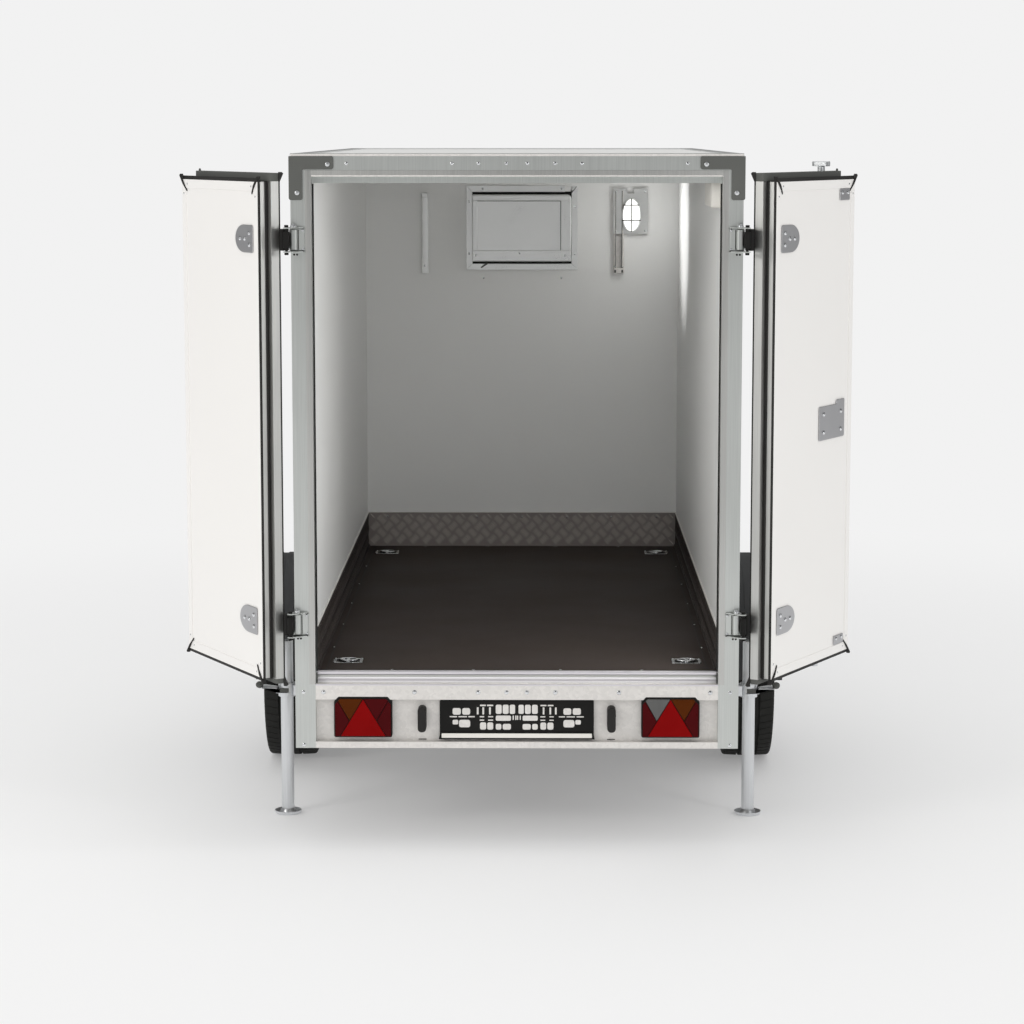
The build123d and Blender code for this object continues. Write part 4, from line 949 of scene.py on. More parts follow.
# %% Gasket ends at the corners
# The rubber ends in thin blades that stand up from the face and slant across each corner. A
# closed door presses them flat.
BLADE = [(0, -7), (14, -7), (16, 0), (84, 0), (84, 1.5), (80, 3), (45, 8), (5, 8), (0, 4)]


def blade(x, z, dx, dz):
    """From a tip 10 out and 5 up past a corner, the blade runs in over the door's face."""
    run = np.array((-dx, 0.0, -dz)) / sqrt(2)
    across = np.cross(run, (0.0, 1.0, 0.0))
    body = plate(rounded(BLADE, 0.8, 3), -2.0, 2.0, 0.6)
    return moved(body, (x + 10 * dx, FACE, z + 5 * dz), np.stack([run, (0.0, 1.0, 0.0), across], 1))


for side, flip in (("right", 1.0), ("left", -1.0)):
    for label, x, dx in (("free", PLUG_X[0] - 3, -1.0), ("hinge", PLUG_X[1] + 3, 1.0)):
        for end, z, dz in (("low", LIP_Z[0], -1.0), ("high", LIP_Z[1], 1.0)):
            points, faces = swung(blade(x, z, dx, dz))
            anchor = swung((np.array([(x, FACE, z)]), []))[0][0] * (flip, 1, 1)
            made = piece(f"gasket_end_{side}_{label}_{end}", outward((points * (flip, 1, 1), faces)),
                         "door_" + side, "black_rubber")
            tuple(placed(anchor))
            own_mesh(made)

# %% Horns at the flange's hinge corners
# The outer strip's ends are cut long there, so they bend away from the skin.
flap = [(0, 0), (12, 0), (17, 5), (0, 42)]
horns = []
for z, way in ((FLANGE_Z[1] + 3, -1), (FLANGE_Z[0] - 10, 1)):
    horn = plate(rounded(flap, 1.0, 3), -2.5, 2.5, 0.6)
    out = np.array((1.0, -1.0, 0.0)) / sqrt(2)
    axes = np.stack([out, (0.0, 0.0, way), np.cross(out, (0.0, 0.0, way))], 1)
    horns.append(moved(horn, (FLANGE_X[1] - 4, OUTER - 2, z), axes))
on_doors("door_horns", joined(*horns), "black_rubber")

# %% Trim round the inner face
def frame_strip(x, z, wide, y0, y1, edge):
    """A flat picture frame with chamfered edges, as a section carried round four corners."""
    outer = rectangle(*x, *z)
    steps = [(0.0, y0), (0.0, y1 - edge), (edge, y1), (wide - edge, y1), (wide, y1 - edge),
             (wide, y0)]
    rings = np.stack([np.column_stack([inset(outer, by)[:, 0], np.full(4, y),
                                       inset(outer, by)[:, 1]]) for by, y in steps], 1)
    return skin(rings, closed=True)


trim = frame_strip(PLUG_X, PLUG_Z, 31.0, FACE - 1, FACE + 1.5, 0.8)
on_doors("door_trim", trim, "door_skin")
spots = [(x + dx, z + dz, 0) for x, sx in ((PLUG_X[0] + 16, 1), (PLUG_X[1] - 16, -1))
         for z, sz in ((PLUG_Z[0] + 16, 1), (PLUG_Z[1] - 16, -1))
         for dx, dz in ((sx * 34, 0), (0, sz * 34))]
rivets = facing(copies(dome(4.0, 1.6), [(-x, z, 0) for x, z, _ in spots]), (0, FACE + 1.5, 0), FRONT)
on_doors("door_trim_rivets", rivets, "zinc_bright")

# %% Backing plates inside the doors
HINGE_Z = [(drawn("hinge_brackets")[0][2] + 44.0), (drawn("hinge_brackets")[1][2] - 44.0)]


def bolted(outline, heads, thick=3.5, radius=8.0):
    """A plate lying on the door's inner face, with a domed bolt at each point."""
    flat = np.asarray(outline, float) * (-1, 1)
    sheet = plate(flat[::-1], 0.0, thick, 0.9)
    tops = copies(dome(radius, 4.5), [(-x, z, thick) for x, z in heads])
    return [facing(shape, (0, FACE, 0), FRONT) for shape in (sheet, tops)]


def backing(z):
    """A D shape: straight towards the hinge and half an oval towards the middle of the door."""
    turn = np.linspace(0.5 * pi, 1.5 * pi, 17)
    bow = np.stack([563 + 70 * np.cos(turn), z + 47 * np.sin(turn)], 1)
    return rounded(np.concatenate([[(641, z - 47), (641, z + 47)], bow]),
                   [9, 9] + [0] * 17)


plates, heads = [], []
for z in HINGE_Z:
    sheet, tops = bolted(backing(z), [(615, z + 20), (615, z - 20), (575, z), (535, z)])
    plates.append(sheet)
    heads.append(tops)
on_doors("hinge_backing", joined(*plates), "hinge_metal", "hinges")
on_doors("hinge_backing_bolts", joined(*heads), "zinc_bright")

# %% Straps and knuckles outside
straps = []
for z in HINGE_Z:
    strap = rounded([(545, z - 26), (760, z - 26), (760, z + 26), (545, z + 26)], (10, 2, 2, 10))
    straps.append(facing(plate(strap, 0.0, 5.0, 1.0), (0, SKIN, 0), BACK))
    heads = [(x, z + dz, 5) for x in (570, 650) for dz in (-13, 13)]
    straps.append(facing(copies(dome(8, 5), heads), (0, SKIN, 0), BACK))
    barrel = turned([(5.2, -27), (9.2, -27), (10, -26), (10, 26), (9.2, 27), (5.2, 27)], 28, True)
    straps.append(moved(barrel, HINGE + (0, 0, z)))
on_doors("hinge_straps", joined(*straps), "hinge_metal", finish_as="black_plastic")

# %% Leaves on the posts
leaves, caps, blocks = [], [], []
for z in HINGE_Z:
    leaves.append(block(712, 762, -4.0, -0.5, z - 37, z + 37, 2.0, 1.0))
    shell = rounded([(762, -2), (762, -11), (755, -17), (741, -17), (735, -11), (735, -2)],
                    (1, 6, 8, 8, 6, 1))[::-1]
    leaves.append(plate(shell, z - 34, z + 34, 0.8))
    for dz, way in ((-38, -1), (38, 1)):
        low, high = sorted((z + dz, z + dz + 4 * way))
        lug = rounded([(712, -1), (712, -8), (728, -14), (742, -30), (HINGE[0] - 8, -45),
                       (HINGE[0] + 9, -45), (HINGE[0] + 11, -34), (764, -12), (764, -1)],
                      (1, 5, 8, 8, 8, 8, 8, 4, 1))
        leaves.append(plate(lug, low, high, 0.8))
        blocks.append(rod(HINGE + (0, 0, z + dz), HINGE + (0, 0, z + dz + 12 * way), 7.0))
    cap = turned([(0.1, 12), (4, 11.4), (7.5, 9), (9.5, 5), (10, 0), (0.1, 0)][::-1], 20)
    caps.append(moved(cap, (748, -17, z + 42)))
    caps.append(facing(copies(dome(4.5, 3.0), [(717, z + 31, 4), (717, z - 31, 4)]), (0, 0, 0), BACK))
    blocks.append(rod(HINGE + (0, 0, z - 42), HINGE + (0, 0, z + 42), 5.0))
    blocks.append(block(731, 734, -4.8, -3.5, z - 33, z + 33, 0.4, 0.3))
    blocks.append(block(712, 720, -9.0, -4.0, z - 41, z - 38, 1.0, 0.6))
    hook = rounded([(765, -4), (765, 14), (786, 14), (793, 8), (793, -18), (784, -26), (776, -26),
                    (776, -20), (785, -14), (785, 2), (780, 6), (770, 6), (770, -4)][::-1], 1.5, 4)
    blocks.append(plate(hook, z - 36, z + 36, 1.0))
    blocks.append(facing(copies(dome(3.5, 2.0), [(737, z - 50, 0), (747, z - 50, 0)]), (0, 0, 0), BACK))
piece("hinge_leaves", paired(joined(*leaves)), "trailer", "hinge_metal", "hinge_brackets",
      finish_as="frame_aluminium")
piece("hinge_caps", paired(joined(*caps)), "trailer", "zinc_steel")
piece("hinge_covers", paired(joined(*blocks)), "trailer", "black_plastic")

# %% [markdown]
# ## Door lock
#
# One bar stands outside the right-hand door and turns in four bearings. Its cams hook behind the
# lintel and the sill. A swing handle in the middle turns it. Bolted plates inside the door
# back its top and bottom bearings and its handle.

# %% Lock bar, cams and bearings
BAR_X, BAR_Y = 98.0, SKIN - 20.0
(_, _, bar_low), (_, _, bar_high) = drawn("door_right_lock")
parts = [rod((BAR_X, BAR_Y, bar_low + 9), (BAR_X, BAR_Y, bar_high - 14), 10.0, 24)]
for z, way in ((bar_high - 11, 1), (bar_low + 9, -1)):
    claw = rounded([(8, -32), (11, -22), (11, 22), (8, 32), (-4, 33), (-10, 24), (-10, -24),
                    (-4, -33)], 3.0, 3)
    parts.append(moved(plate(claw, -8, 9, 2.0), (BAR_X, BAR_Y, z)))
    parts.append(moved(turned([(13, -26), (13, -10), (10, -7), (10, 8), (0.1, 8), (0.1, -26)], 20),
                       (BAR_X, BAR_Y, z)))
for z in (626.0, 1250.0, 1600.0, 2217.0):
    parts.append(block(BAR_X - 40, BAR_X + 40, SKIN - 5, SKIN, z - 20, z + 20, 1.5, 1.0))
    parts.append(moved(turned([(10.2, -18), (16, -18), (17, -16), (17, 16), (16, 18), (10.2, 18)],
                              24, True), (BAR_X, BAR_Y, z)))
    heads = [(x, z, 5) for x in (BAR_X - 31, BAR_X + 31)]
    parts.append(facing(copies(dome(7, 4), heads), (0, SKIN, 0), BACK))
on_doors("lock_bar", joined(*parts), "zinc_steel", "lock", left=False)
grip = rounded([(86, 1404), (110, 1404), (124, 1416), (360, 1418), (366, 1428), (360, 1438),
                (124, 1440), (110, 1452), (86, 1452)], 5.0, 4)
lever = facing(plate(grip, -2.0, 12.0, 4.0), (0, BAR_Y - 12, 0), BACK)
hold = block(306, 344, SKIN - 32, SKIN, 1398, 1413, 3, 1.5)
on_doors("lock_handle", joined(lever, hold), "black_plastic", left=False)

# %% Plates inside the right door
plates, tops = [], []
for z0, z1 in ((2196, 2238), (610, 643)):
    sheet, heads = bolted(rectangle(56, 141, z0, z1, 5), [(x, (z0 + z1) / 2 + 6) for x in (74, 123)],
                          3.5, 7.0)
    plates.append(sheet)
    tops.append(heads)
stepped = rounded([(76, 1360), (300, 1360), (300, 1480), (150, 1480), (146, 1495), (76, 1495)],
                  (7, 7, 7, 3, 3, 5))
sheet, heads = bolted(stepped, [(x, z) for x in (110, 262) for z in (1388, 1452)])
plates.append(sheet)
tops.append(heads)
on_doors("lock_backing", joined(*plates), "hinge_metal", left=False)
on_doors("lock_backing_bolts", joined(*tops), "zinc_bright", left=False)

# %% [markdown]
# ## The load space
#
# The back wall carries the cold-air outlet in a mitred frame, two upright rails and an oval
# lamp behind a wire guard. The lamp is really lit: it brightens the wall beside it. Chequer plate
# lines the foot of the walls, and its raised bars are one small shape copied in groups of five.

# %% Chequer plate bars
_, (_, END, KICK_TOP) = drawn("kick_plates")
PITCH = 29.0
BAR_HALF = 17.0
BARS_HIGH = 148


def turned_flat(angle):
    """The matrix of a turn about Z."""
    return np.array([[cos(angle), -sin(angle), 0], [sin(angle), cos(angle), 0], [0, 0, 1]])


def chequer(length, height):
    """Square groups of five bars stand on a corner, and lean the other way in every next column.

    A bar is left out where either of its ends would pass the edge of the plate."""
    turn = np.linspace(0, 2 * pi, 6, endpoint=False)
    base = np.stack([BAR_HALF * np.cos(turn), 2.1 * np.sin(turn)], 1)
    bar = skin(np.stack([at_height(base, -0.3), at_height(base * (0.75, 0.35), 1.2)]))
    i, j = (grid.reshape(-1) for grid in np.meshgrid(np.arange(int(length / PITCH) + 1),
                                                     np.arange(int(height / PITCH) + 2)))
    rows = []
    for lean, column in ((pi / 4, 0), (-pi / 4, 1)):
        group = ((i + j) % 2 == 0) & (i % 2 == column)
        centres = np.stack([i[group] * PITCH, j[group] * PITCH], 1)
        across = np.array([-sin(lean), cos(lean)]) * PITCH * sqrt(2) / 5
        mids = (centres[:, None] + across * np.arange(-2, 3)[:, None]).reshape(-1, 2)
        reach = BAR_HALF * sqrt(0.5)
        inside = np.all((mids > reach) & (mids < np.array([length, height]) - reach), axis=1)
        rows.append(copies(moved(bar, 0, turned_flat(lean)), at_height(mids[inside], 0.0)))
    return joined(*rows)


back_bars = facing(chequer(2 * OPENING - 8, BARS_HIGH), (-OPENING + 4, END - 3, FLOOR + 2), BACK)
side_bars = facing(chequer(END - 70, BARS_HIGH), (OPENING - 3.8, END - 4, FLOOR + 2), LEFT)
# Along the sides a thin sheet over the plate, two strips and the bars take the dark finish: painted shade and the
# painted reflection of the dark floor.
shade_sheets = [block(OPENING - 3.8, OPENING - 2, 63, END - 3.5, FLOOR + 0.3, KICK_TOP - 0.3, 0.5, 0.3),
        block(OPENING - 6.5, OPENING - 3, 64, END - 4, FLOOR + 70, FLOOR + 76, 1.0, 0.8),
        block(OPENING - 9, OPENING - 3, 64, END - 4, FLOOR + 0.3, FLOOR + 9, 1.5, 1.0)]
piece("chequer_bars_back", back_bars, "trailer", "chequer_plate", finish_as="chequer_bars")
piece("chequer_sides_painted_shade", paired(joined(side_bars, *shade_sheets)), "trailer", "chequer_plate",
      finish_as="chequer_dark_shade")

# %% Skirting edges and floor screws
edge = [block(-OPENING + 1, OPENING - 1, END - 5, END, KICK_TOP, KICK_TOP + 3, 0.8, 0.6),
        paired(block(OPENING - 5, OPENING, 64, END - 5, KICK_TOP, KICK_TOP + 3, 0.8, 0.6))]
piece("skirting_edges", joined(*edge), "trailer", "inner_aluminium", finish_as="galvanised")
far = [(x, KICK_TOP - 18, 3) for x in np.linspace(-600, 600, 7)]
near = [(-y, KICK_TOP - 18, 3) for y in np.arange(200, 3000, 400)]
heads = [facing(copies(dome(5, 2), far), (0, END, 0), BACK),
         paired(facing(copies(dome(5, 2), near), (OPENING, 0, 0), LEFT)),
         copies(dome(5.5, 1.8), [(x, 70, FLOOR) for x in (-430, -150, 150, 430)]),
         copies(dome(5.5, 1.8), [(x, END - 26, FLOOR) for x in (-430, -150, 150, 430)]),
         paired(copies(dome(5.5, 1.8), [(662, y, FLOOR) for y in np.arange(500, 2900, 480)]))]
piece("floor_screws", joined(*heads), "trailer", "zinc_bright")
boards = [paired(block(OPENING - 34, OPENING - 30, 62, END - 5, FLOOR, FLOOR + 0.6, 0.8, 0.2))]
piece("floor_edge_joints", joined(*boards), "trailer", "black_rubber")

# %% Lashing rings
# Each pan is a pressed rim round a well, coloured black as painted shade of its depth. The ring lies flat in it on
# a strap.
turn = np.linspace(0, 2 * pi, 28, endpoint=False)
hoop = along(np.stack([30 * np.cos(turn), 22 * np.sin(turn), 0 * turn], 1), oval(0, 0, 4, 4, 12), UP, True)
plane, hole = rectangle(-52, 52, -42, 42, 8), rectangle(-41, 41, -31, 31, 6)
rim = skin(np.stack([at_height(plane, 0.2), at_height(inset(plane, 0.8), 1.6),
                     at_height(hole, 1.6), at_height(hole, 0.2)]), closed=True)
strap = block(-7, 7, -30, 30, -2, 5.5, 3, 1.5)
corners = [(dx, dy, 1.4) for dx in (-46, 46) for dy in (-36, 36)]
pan = joined(rim, moved(hoop, (0, 0, 4.5)), strap, copies(dome(4.5, 2.5), corners))
spots = [(x, y, FLOOR) for x in (-592.0, 592.0) for y in (235.0, 2819.0)]
piece("lashing_rings", copies(pan, spots), "trailer", "zinc_bright", "tie_downs")
# The wells are black as painted shade.
shaded_well = plate(inset(hole, 0.4), -0.6, 0.6, 0.3)
piece("lashing_wells_shade", copies(shaded_well, spots), "trailer", "zinc_bright", finish_as="black_plastic")

# %% Cold-air outlet
# The top bar of its frame is in two pieces, with a gap between them.
(half_x, _, frame_low), (_, WALL_Y, frame_high) = [np.abs(c) for c in drawn("unit_frame")]
MITRE = 28
GAP_FROM, GAP_TO = 190, 220
in_x, in_low, in_high = half_x - MITRE, frame_low + MITRE, frame_high - MITRE
bars = []
for points in ([(-half_x, frame_low), (half_x, frame_low), (in_x, in_low), (-in_x, in_low)],
               [(-half_x, frame_low), (-in_x, in_low), (-in_x, in_high), (-half_x, frame_high)],
               [(half_x, frame_low), (half_x, frame_high), (in_x, in_high), (in_x, in_low)],
               [(-half_x, frame_high), (-in_x, in_high), (GAP_FROM, in_high), (GAP_FROM, frame_high)],
               [(GAP_TO, frame_high), (GAP_TO, in_high), (in_x, in_high), (half_x, frame_high)]):
    bars.append(facing(plate(inset(np.asarray(points, float), 0.4), 0.0, 6.0, 1.0), (0, WALL_Y, 0), BACK))
piece("outlet_frame", joined(*bars), "trailer", "inner_aluminium", "unit_frame")


def tray(outer, steps):
    """A shell stepped in and out: each step is an inset from the outline and a height."""
    return skin(np.stack([at_height(inset(outer, by), z) for by, z in steps]))


box = rounded([(-218, frame_low + 38), (217, frame_low + 38), (217, frame_high - 38),
               (-218, frame_high - 38)], (3, 6, 18, 3), 6)
low_x, high_x, low_z, high_z = -196.0, 171.0, frame_low + 88, frame_high - 65
# A black plate behind the cover shows in the gaps above and below it, as painted shade of those gaps.
seal = plate(rectangle(-219, 219, frame_low + 26, frame_high - 26, 2), 0.5, 5.0, 0.5)
piece("outlet_gap_shade", facing(seal, (0, WALL_Y, 0), BACK), "trailer", "black_rubber",
      finish_as="black_plastic")
cover = tray(box, [(2, 0), (2, 40), (0, 43), (0, 46), (1, 49), (4, 51)])
lid = [plate(rounded(corners, 0.4, 2), 50.0, 60.5, 1.2) for corners in (
    [(-216, low_z), (-216, frame_low + 41), (214, frame_low + 41), (214, low_z)],
    [(-216, frame_high - 41), (-216, high_z), (200, high_z), (200, frame_high - 41)],
    [(-216, high_z), (-216, low_z), (low_x, low_z), (low_x, high_z)],
    [(high_x, low_z), (214, low_z), (214, high_z), (high_x, high_z)])]
# Thin dark strips along the recess's top and right edges are painted shade of its step.
recess_shade_lines = [plate(rectangle(low_x, high_x, high_z - 2.5, high_z, 0.5), 50.6, 52.0, 0.4),
         plate(rectangle(high_x - 2.5, high_x, low_z, high_z - 2.5, 0.5), 50.6, 52.0, 0.4)]
piece("outlet_recess_shade", facing(joined(*recess_shade_lines), (0, WALL_Y, 0), BACK), "trailer", "dark_plastic")
piece("outlet_cover", facing(cover, (0, WALL_Y, 0), BACK), "trailer", "inner_aluminium")
piece("outlet_panel", facing(joined(*[outward(p) for p in lid]), (0, WALL_Y, 0), BACK), "trailer",
      "inner_aluminium")
heads = [(-10, 1906, 60.5), (189, 1896, 60.5), (-203, 1897, 60.5), (-233, 2130, 6),
         (-233, 1902, 6), (-174, 2186, 6), (173, 2186, 6), (233, 2110, 6), (233, 1900, 6),
         (-170, 1795, 0), (174, 1795, 0)]
piece("outlet_screws", facing(copies(dome(5, 2.5), heads), (0, WALL_Y, 0), BACK), "trailer",
      "zinc_bright")
catch = plate(rounded([(-184, 1842), (-178, 1838), (-150, 1857), (-154, 1863)], 2), 6, 12, 1)
piece("outlet_catch", facing(catch, (0, WALL_Y, 0), BACK), "trailer", "dark_plastic")

# %% Channels beside the outlet
(left_x, _, left_low), (_, _, left_high) = drawn("wall_channels")
left = [block(left_x, left_x + 27, WALL_Y - 25, WALL_Y, left_low, left_high - 18, 1.5, 1),
        block(left_x - 3, left_x + 24, WALL_Y - 28, WALL_Y, left_high - 19, left_high, 2, 1)]
piece("channel_left", joined(*left), "trailer", "galvanised", "wall_channels",
      finish_as="inner_aluminium")
section = [(404, 0), (404, 26), (408, 30), (411, 30), (411, 6), (441, 6), (441, 30), (444, 30),
           (449, 26), (449, 0)]
rail = moved(plate(rounded(section, 0.8, 3), 1817.0, 2180.0, 0.6), (0, WALL_Y, 0), np.diag((1, -1, 1)))
right = [outward(rail), block(405, 448, WALL_Y - 31, WALL_Y, 1817, 1838, 2, 1)]
piece("channel_right", joined(*right), "trailer", "galvanised")
# Dark strips down both inner sides of the right rail are painted shade; the two plugs at its foot are real.
rail_shade_strips = [block(x - 1.4, x + 1.4, WALL_Y - 31.5, WALL_Y - 8, 1840, 2178, 0.6, 0.5) for x in (412, 440)]
plugs = [block(x - 4, x + 4, WALL_Y - 33, WALL_Y - 20, 1819, 1832, 2, 1) for x in (411, 442)]
piece("channel_shade_and_plugs", joined(*rail_shade_strips, *plugs), "trailer", "black_rubber", finish_as="dark_plastic")
heads = [(x, 1846, 31) for x in (410, 443)] + [(-428, 1850, 25)]
piece("channel_screws", facing(copies(dome(4, 3), heads), (0, WALL_Y, 0), BACK), "trailer",
      "zinc_bright")

# %% Lamp and its guard
(plate_x, _, plate_z), (plate_x1, _, plate_z1) = drawn("interior_lamp")
LAMP = (480.5, 2072.0)
notched = rounded([(plate_x, plate_z), (plate_x1, plate_z), (plate_x1, plate_z1), (491, plate_z1),
                   (491, plate_z1 - 22), (461, plate_z1 - 22), (461, plate_z1), (plate_x, plate_z1)],
                  (4, 6, 6, 2, 3, 3, 2, 4))
piece("lamp_plate", facing(plate(notched, 26.0, 29.0, 0.8), (0, WALL_Y, 0), BACK), "trailer",
      "galvanised", "interior_lamp", finish_as="profile_aluminium")
spacers = [block(x - 5, x + 5, WALL_Y - 26, WALL_Y, z - 5, z + 5, 1, 0.6)
           for x in (plate_x + 12, plate_x1 - 12) for z in (plate_z + 14, plate_z1 - 14)]
heads = [(x, z, 29) for x in (plate_x + 12, plate_x1 - 12) for z in (plate_z + 14, plate_z1 - 14)]
piece("lamp_plate_fixings", joined(*spacers, facing(copies(dome(5, 2.5), heads), (0, WALL_Y, 0), BACK)),
      "trailer", "zinc_bright")
rim_line = oval(*LAMP, 42.0, 75.0, 48)
body = tray(rim_line, [(0, 33), (0, 44), (1.5, 47), (6, 48), (6, 40)])
piece("lamp_body", facing(body, (0, WALL_Y, 0), BACK), "trailer", "inner_aluminium")
steps = [(6.0, 40.0)] + [(6 + 26 * (1 - cos(a)), 46 + 9 * sin(a)) for a in np.linspace(0.1, 1.45, 7)]
piece("lamp_bulb_glass", facing(tray(rim_line, steps), (0, WALL_Y, 0), BACK), "trailer", "lamp_glass")
wires = []
arc = np.linspace(0, pi, 13)
for dz, reach in ((-23, 39.5), (44, 34.0)):
    path = np.stack([LAMP[0] + reach * np.cos(arc), WALL_Y - 46 - 14 * np.sin(arc),
                     LAMP[1] + dz + 0 * arc], 1)
    wires.append(along(path, oval(0, 0, 2.4, 2.4, 8), UP))
path = np.stack([LAMP[0] + 0 * arc, WALL_Y - 46 - 14 * np.sin(arc), LAMP[1] + 71 * np.cos(arc)], 1)
wires.append(along(path, oval(0, 0, 2.4, 2.4, 8), RIGHT))
piece("lamp_guard", joined(*wires), "trailer", "zinc_bright", finish_as="dark_plastic")

# %% Light of the lamp
# A point of light in front of the glass brightens the walls next to it. The bright strip beside
# the corner comes from a wide, soft beam across the hold, which keeps clear of the back wall.
GLOW_POWER, BEAM_POWER, BEAM_ANGLE = 0.6, 62.0, 43.0
BULB_RADIUS = 0.05


def unseen(holder):
    """Puts a lamp into the scene that neither the camera nor a reflection shows."""
    holder.visible_camera = holder.visible_glossy = False
    bpy.context.scene.collection.objects.link(holder)


glow = bpy.data.lights.new("lamp_glow", "POINT")
glow.energy, glow.shadow_soft_size = GLOW_POWER, BULB_RADIUS
bulb = bpy.data.objects.new("lamp_glow", glow)
bulb.location = placed((LAMP[0] + 40, WALL_Y - 250, LAMP[1]))
unseen(bulb)
beam = bpy.data.lights.new("wall_beam", "SPOT")
beam.energy, beam.spot_size, beam.spot_blend = BEAM_POWER, radians(BEAM_ANGLE), 1.0
beam.shadow_soft_size = BULB_RADIUS
across = bpy.data.objects.new("wall_beam", beam)
across.location = placed((OPENING - 1200, WALL_Y - 540, LAMP[1] - 50))
across.rotation_euler = (radians(90), 0, radians(-90))
unseen(across)

# %% Control box
(_, y0, z0), (x1, y1, z1) = drawn("wall_box")
case = tray(rectangle(y0, y1, z0 + 14, z1, 12, 5), [(0, 0), (0, 26), (1.5, 31), (5, 33)])
piece("control_box", facing(moved(case, 0, np.diag((-1, 1, 1))), (x1, 0, 0), LEFT), "trailer",
      "cream_plastic", "wall_box")

# %% [markdown]
# ## Prop stands
#
# Two tubes keep the box from tipping back when someone steps inside. Each stands on a dished
# foot pressed from sheet, with its rim turned up so that it can't dig in. A profile turned about
# the tube's axis holds foot, weld cone and tube in one shell, open at the top.

# %% Tubes and feet
(leg_x0, leg_y0, _), (leg_x1, leg_y1, LEG_TOP) = drawn("leg_right")
LEG_X, LEG_Y = (leg_x0 + leg_x1) / 2, (leg_y0 + leg_y1) / 2
TUBE = 22.5
stand = turned([(0.1, 0), (35, 0), (43, 1.5), (47, 6), (48, 13), (46.3, 13.4), (44.8, 8.5), (41, 4.8),
                (35, 3.6), (31, 4.6), (27.5, 12), (24, 19), (TUBE, 21), (TUBE, LEG_TOP - 1.5),
                (TUBE - 1, LEG_TOP), (TUBE - 4, LEG_TOP), (TUBE - 4, LEG_TOP - 80),
                (0.1, LEG_TOP - 80)], 40)
stand = moved(stand, (LEG_X, LEG_Y, 0))
piece("stand_right", stand, "leg_right", "zinc_steel", "leg_right")
piece("stand_left", mirrored(stand), "leg_left", "zinc_steel", "leg_left")

# %% Clamps on the rails
# A split collar grips the tube. A folded sheet in front of it carries the screw, and a round
# knob on the screw's end is what a hand turns.
RAIL = drawn("chassis_rails")[1][0]
grip_z = 455.0
collar = turned([(TUBE + 0.4, -25), (29.5, -25), (30.5, -24), (30.5, 24), (29.5, 25),
                 (TUBE + 0.4, 25)], 40, True)
fold = rounded([(815, 444.5), (863.5, 444.5), (863.5, 461), (915, 461), (915, 464),
                (860.5, 464), (860.5, 447.5), (815, 447.5)], (1, 4, 2, 1, 1, 4, 2, 1), 4)
clamp = [block(RAIL, RAIL + 6, LEG_Y - 60, LEG_Y + 60, grip_z - 30, grip_z + 40, 1.5, 1.5),
         block(RAIL + 4, LEG_X - 24, LEG_Y - 28, LEG_Y + 28, grip_z - 19, grip_z + 19, 4, 2),
         moved(collar, (LEG_X, LEG_Y, grip_z)),
         facing(plate(fold, -12.0, 32.0, 1.0), (0, LEG_Y, 0), BACK),
         block(LEG_X - 6, LEG_X + 6, LEG_Y - 31, LEG_Y - 23, grip_z + 20, grip_z + 34, 1.5, 1),
         rod((866, LEG_Y - 10, grip_z + 9), (916, LEG_Y - 10, grip_z + 16), 4.5)]
heads = copies(hexagon(9, 7), [(y, grip_z + dz, 6) for y in (LEG_Y - 45, LEG_Y + 45) for dz in (-16, 26)])
clamp.append(facing(heads, (RAIL, 0, 0), RIGHT))
piece("stand_clamps", paired(joined(*clamp)), "trailer", "zinc_steel", "leg_clamps")
bend = np.linspace(-0.5 * pi, 0.5 * pi, 11)
knob = turned(np.stack([0.1 + 14 * np.cos(bend), 12.5 * np.sin(bend)], 1), 24)
# The small dark block inside the folded sheet is painted shade.
shade_x = (818.0, 850.0)
dark = [moved(knob, (924, LEG_Y - 10, grip_z + 17)),
        block(*shade_x, LEG_Y - 33.5, LEG_Y - 30, 449, 463, 1.0, 0.5)]
piece("stand_knobs_and_shade", paired(joined(*dark)), "trailer", "black_plastic", finish_as="dark_plastic")

# %% [markdown]
# ## Wheels
#
# A tyre's tread is what tells rubber from plastic. The tyre is one grid: a section from bead to
# bead, turned about the axle. Where a groove runs round or across, the radius is simply smaller,
# so ribs and blocks come from two masks and not from cutting.

# %% Tyres
(tyre_x0, tyre_y0, _), (tyre_x1, tyre_y1, tyre_top) = drawn("tyre_right")
WHEEL = np.array([(tyre_x0 + tyre_x1) / 2, (tyre_y0 + tyre_y1) / 2, tyre_top / 2])
RADIUS, BLOCKS, GROOVE = tyre_top / 2, 64, 7.5
half_tread = 80.0


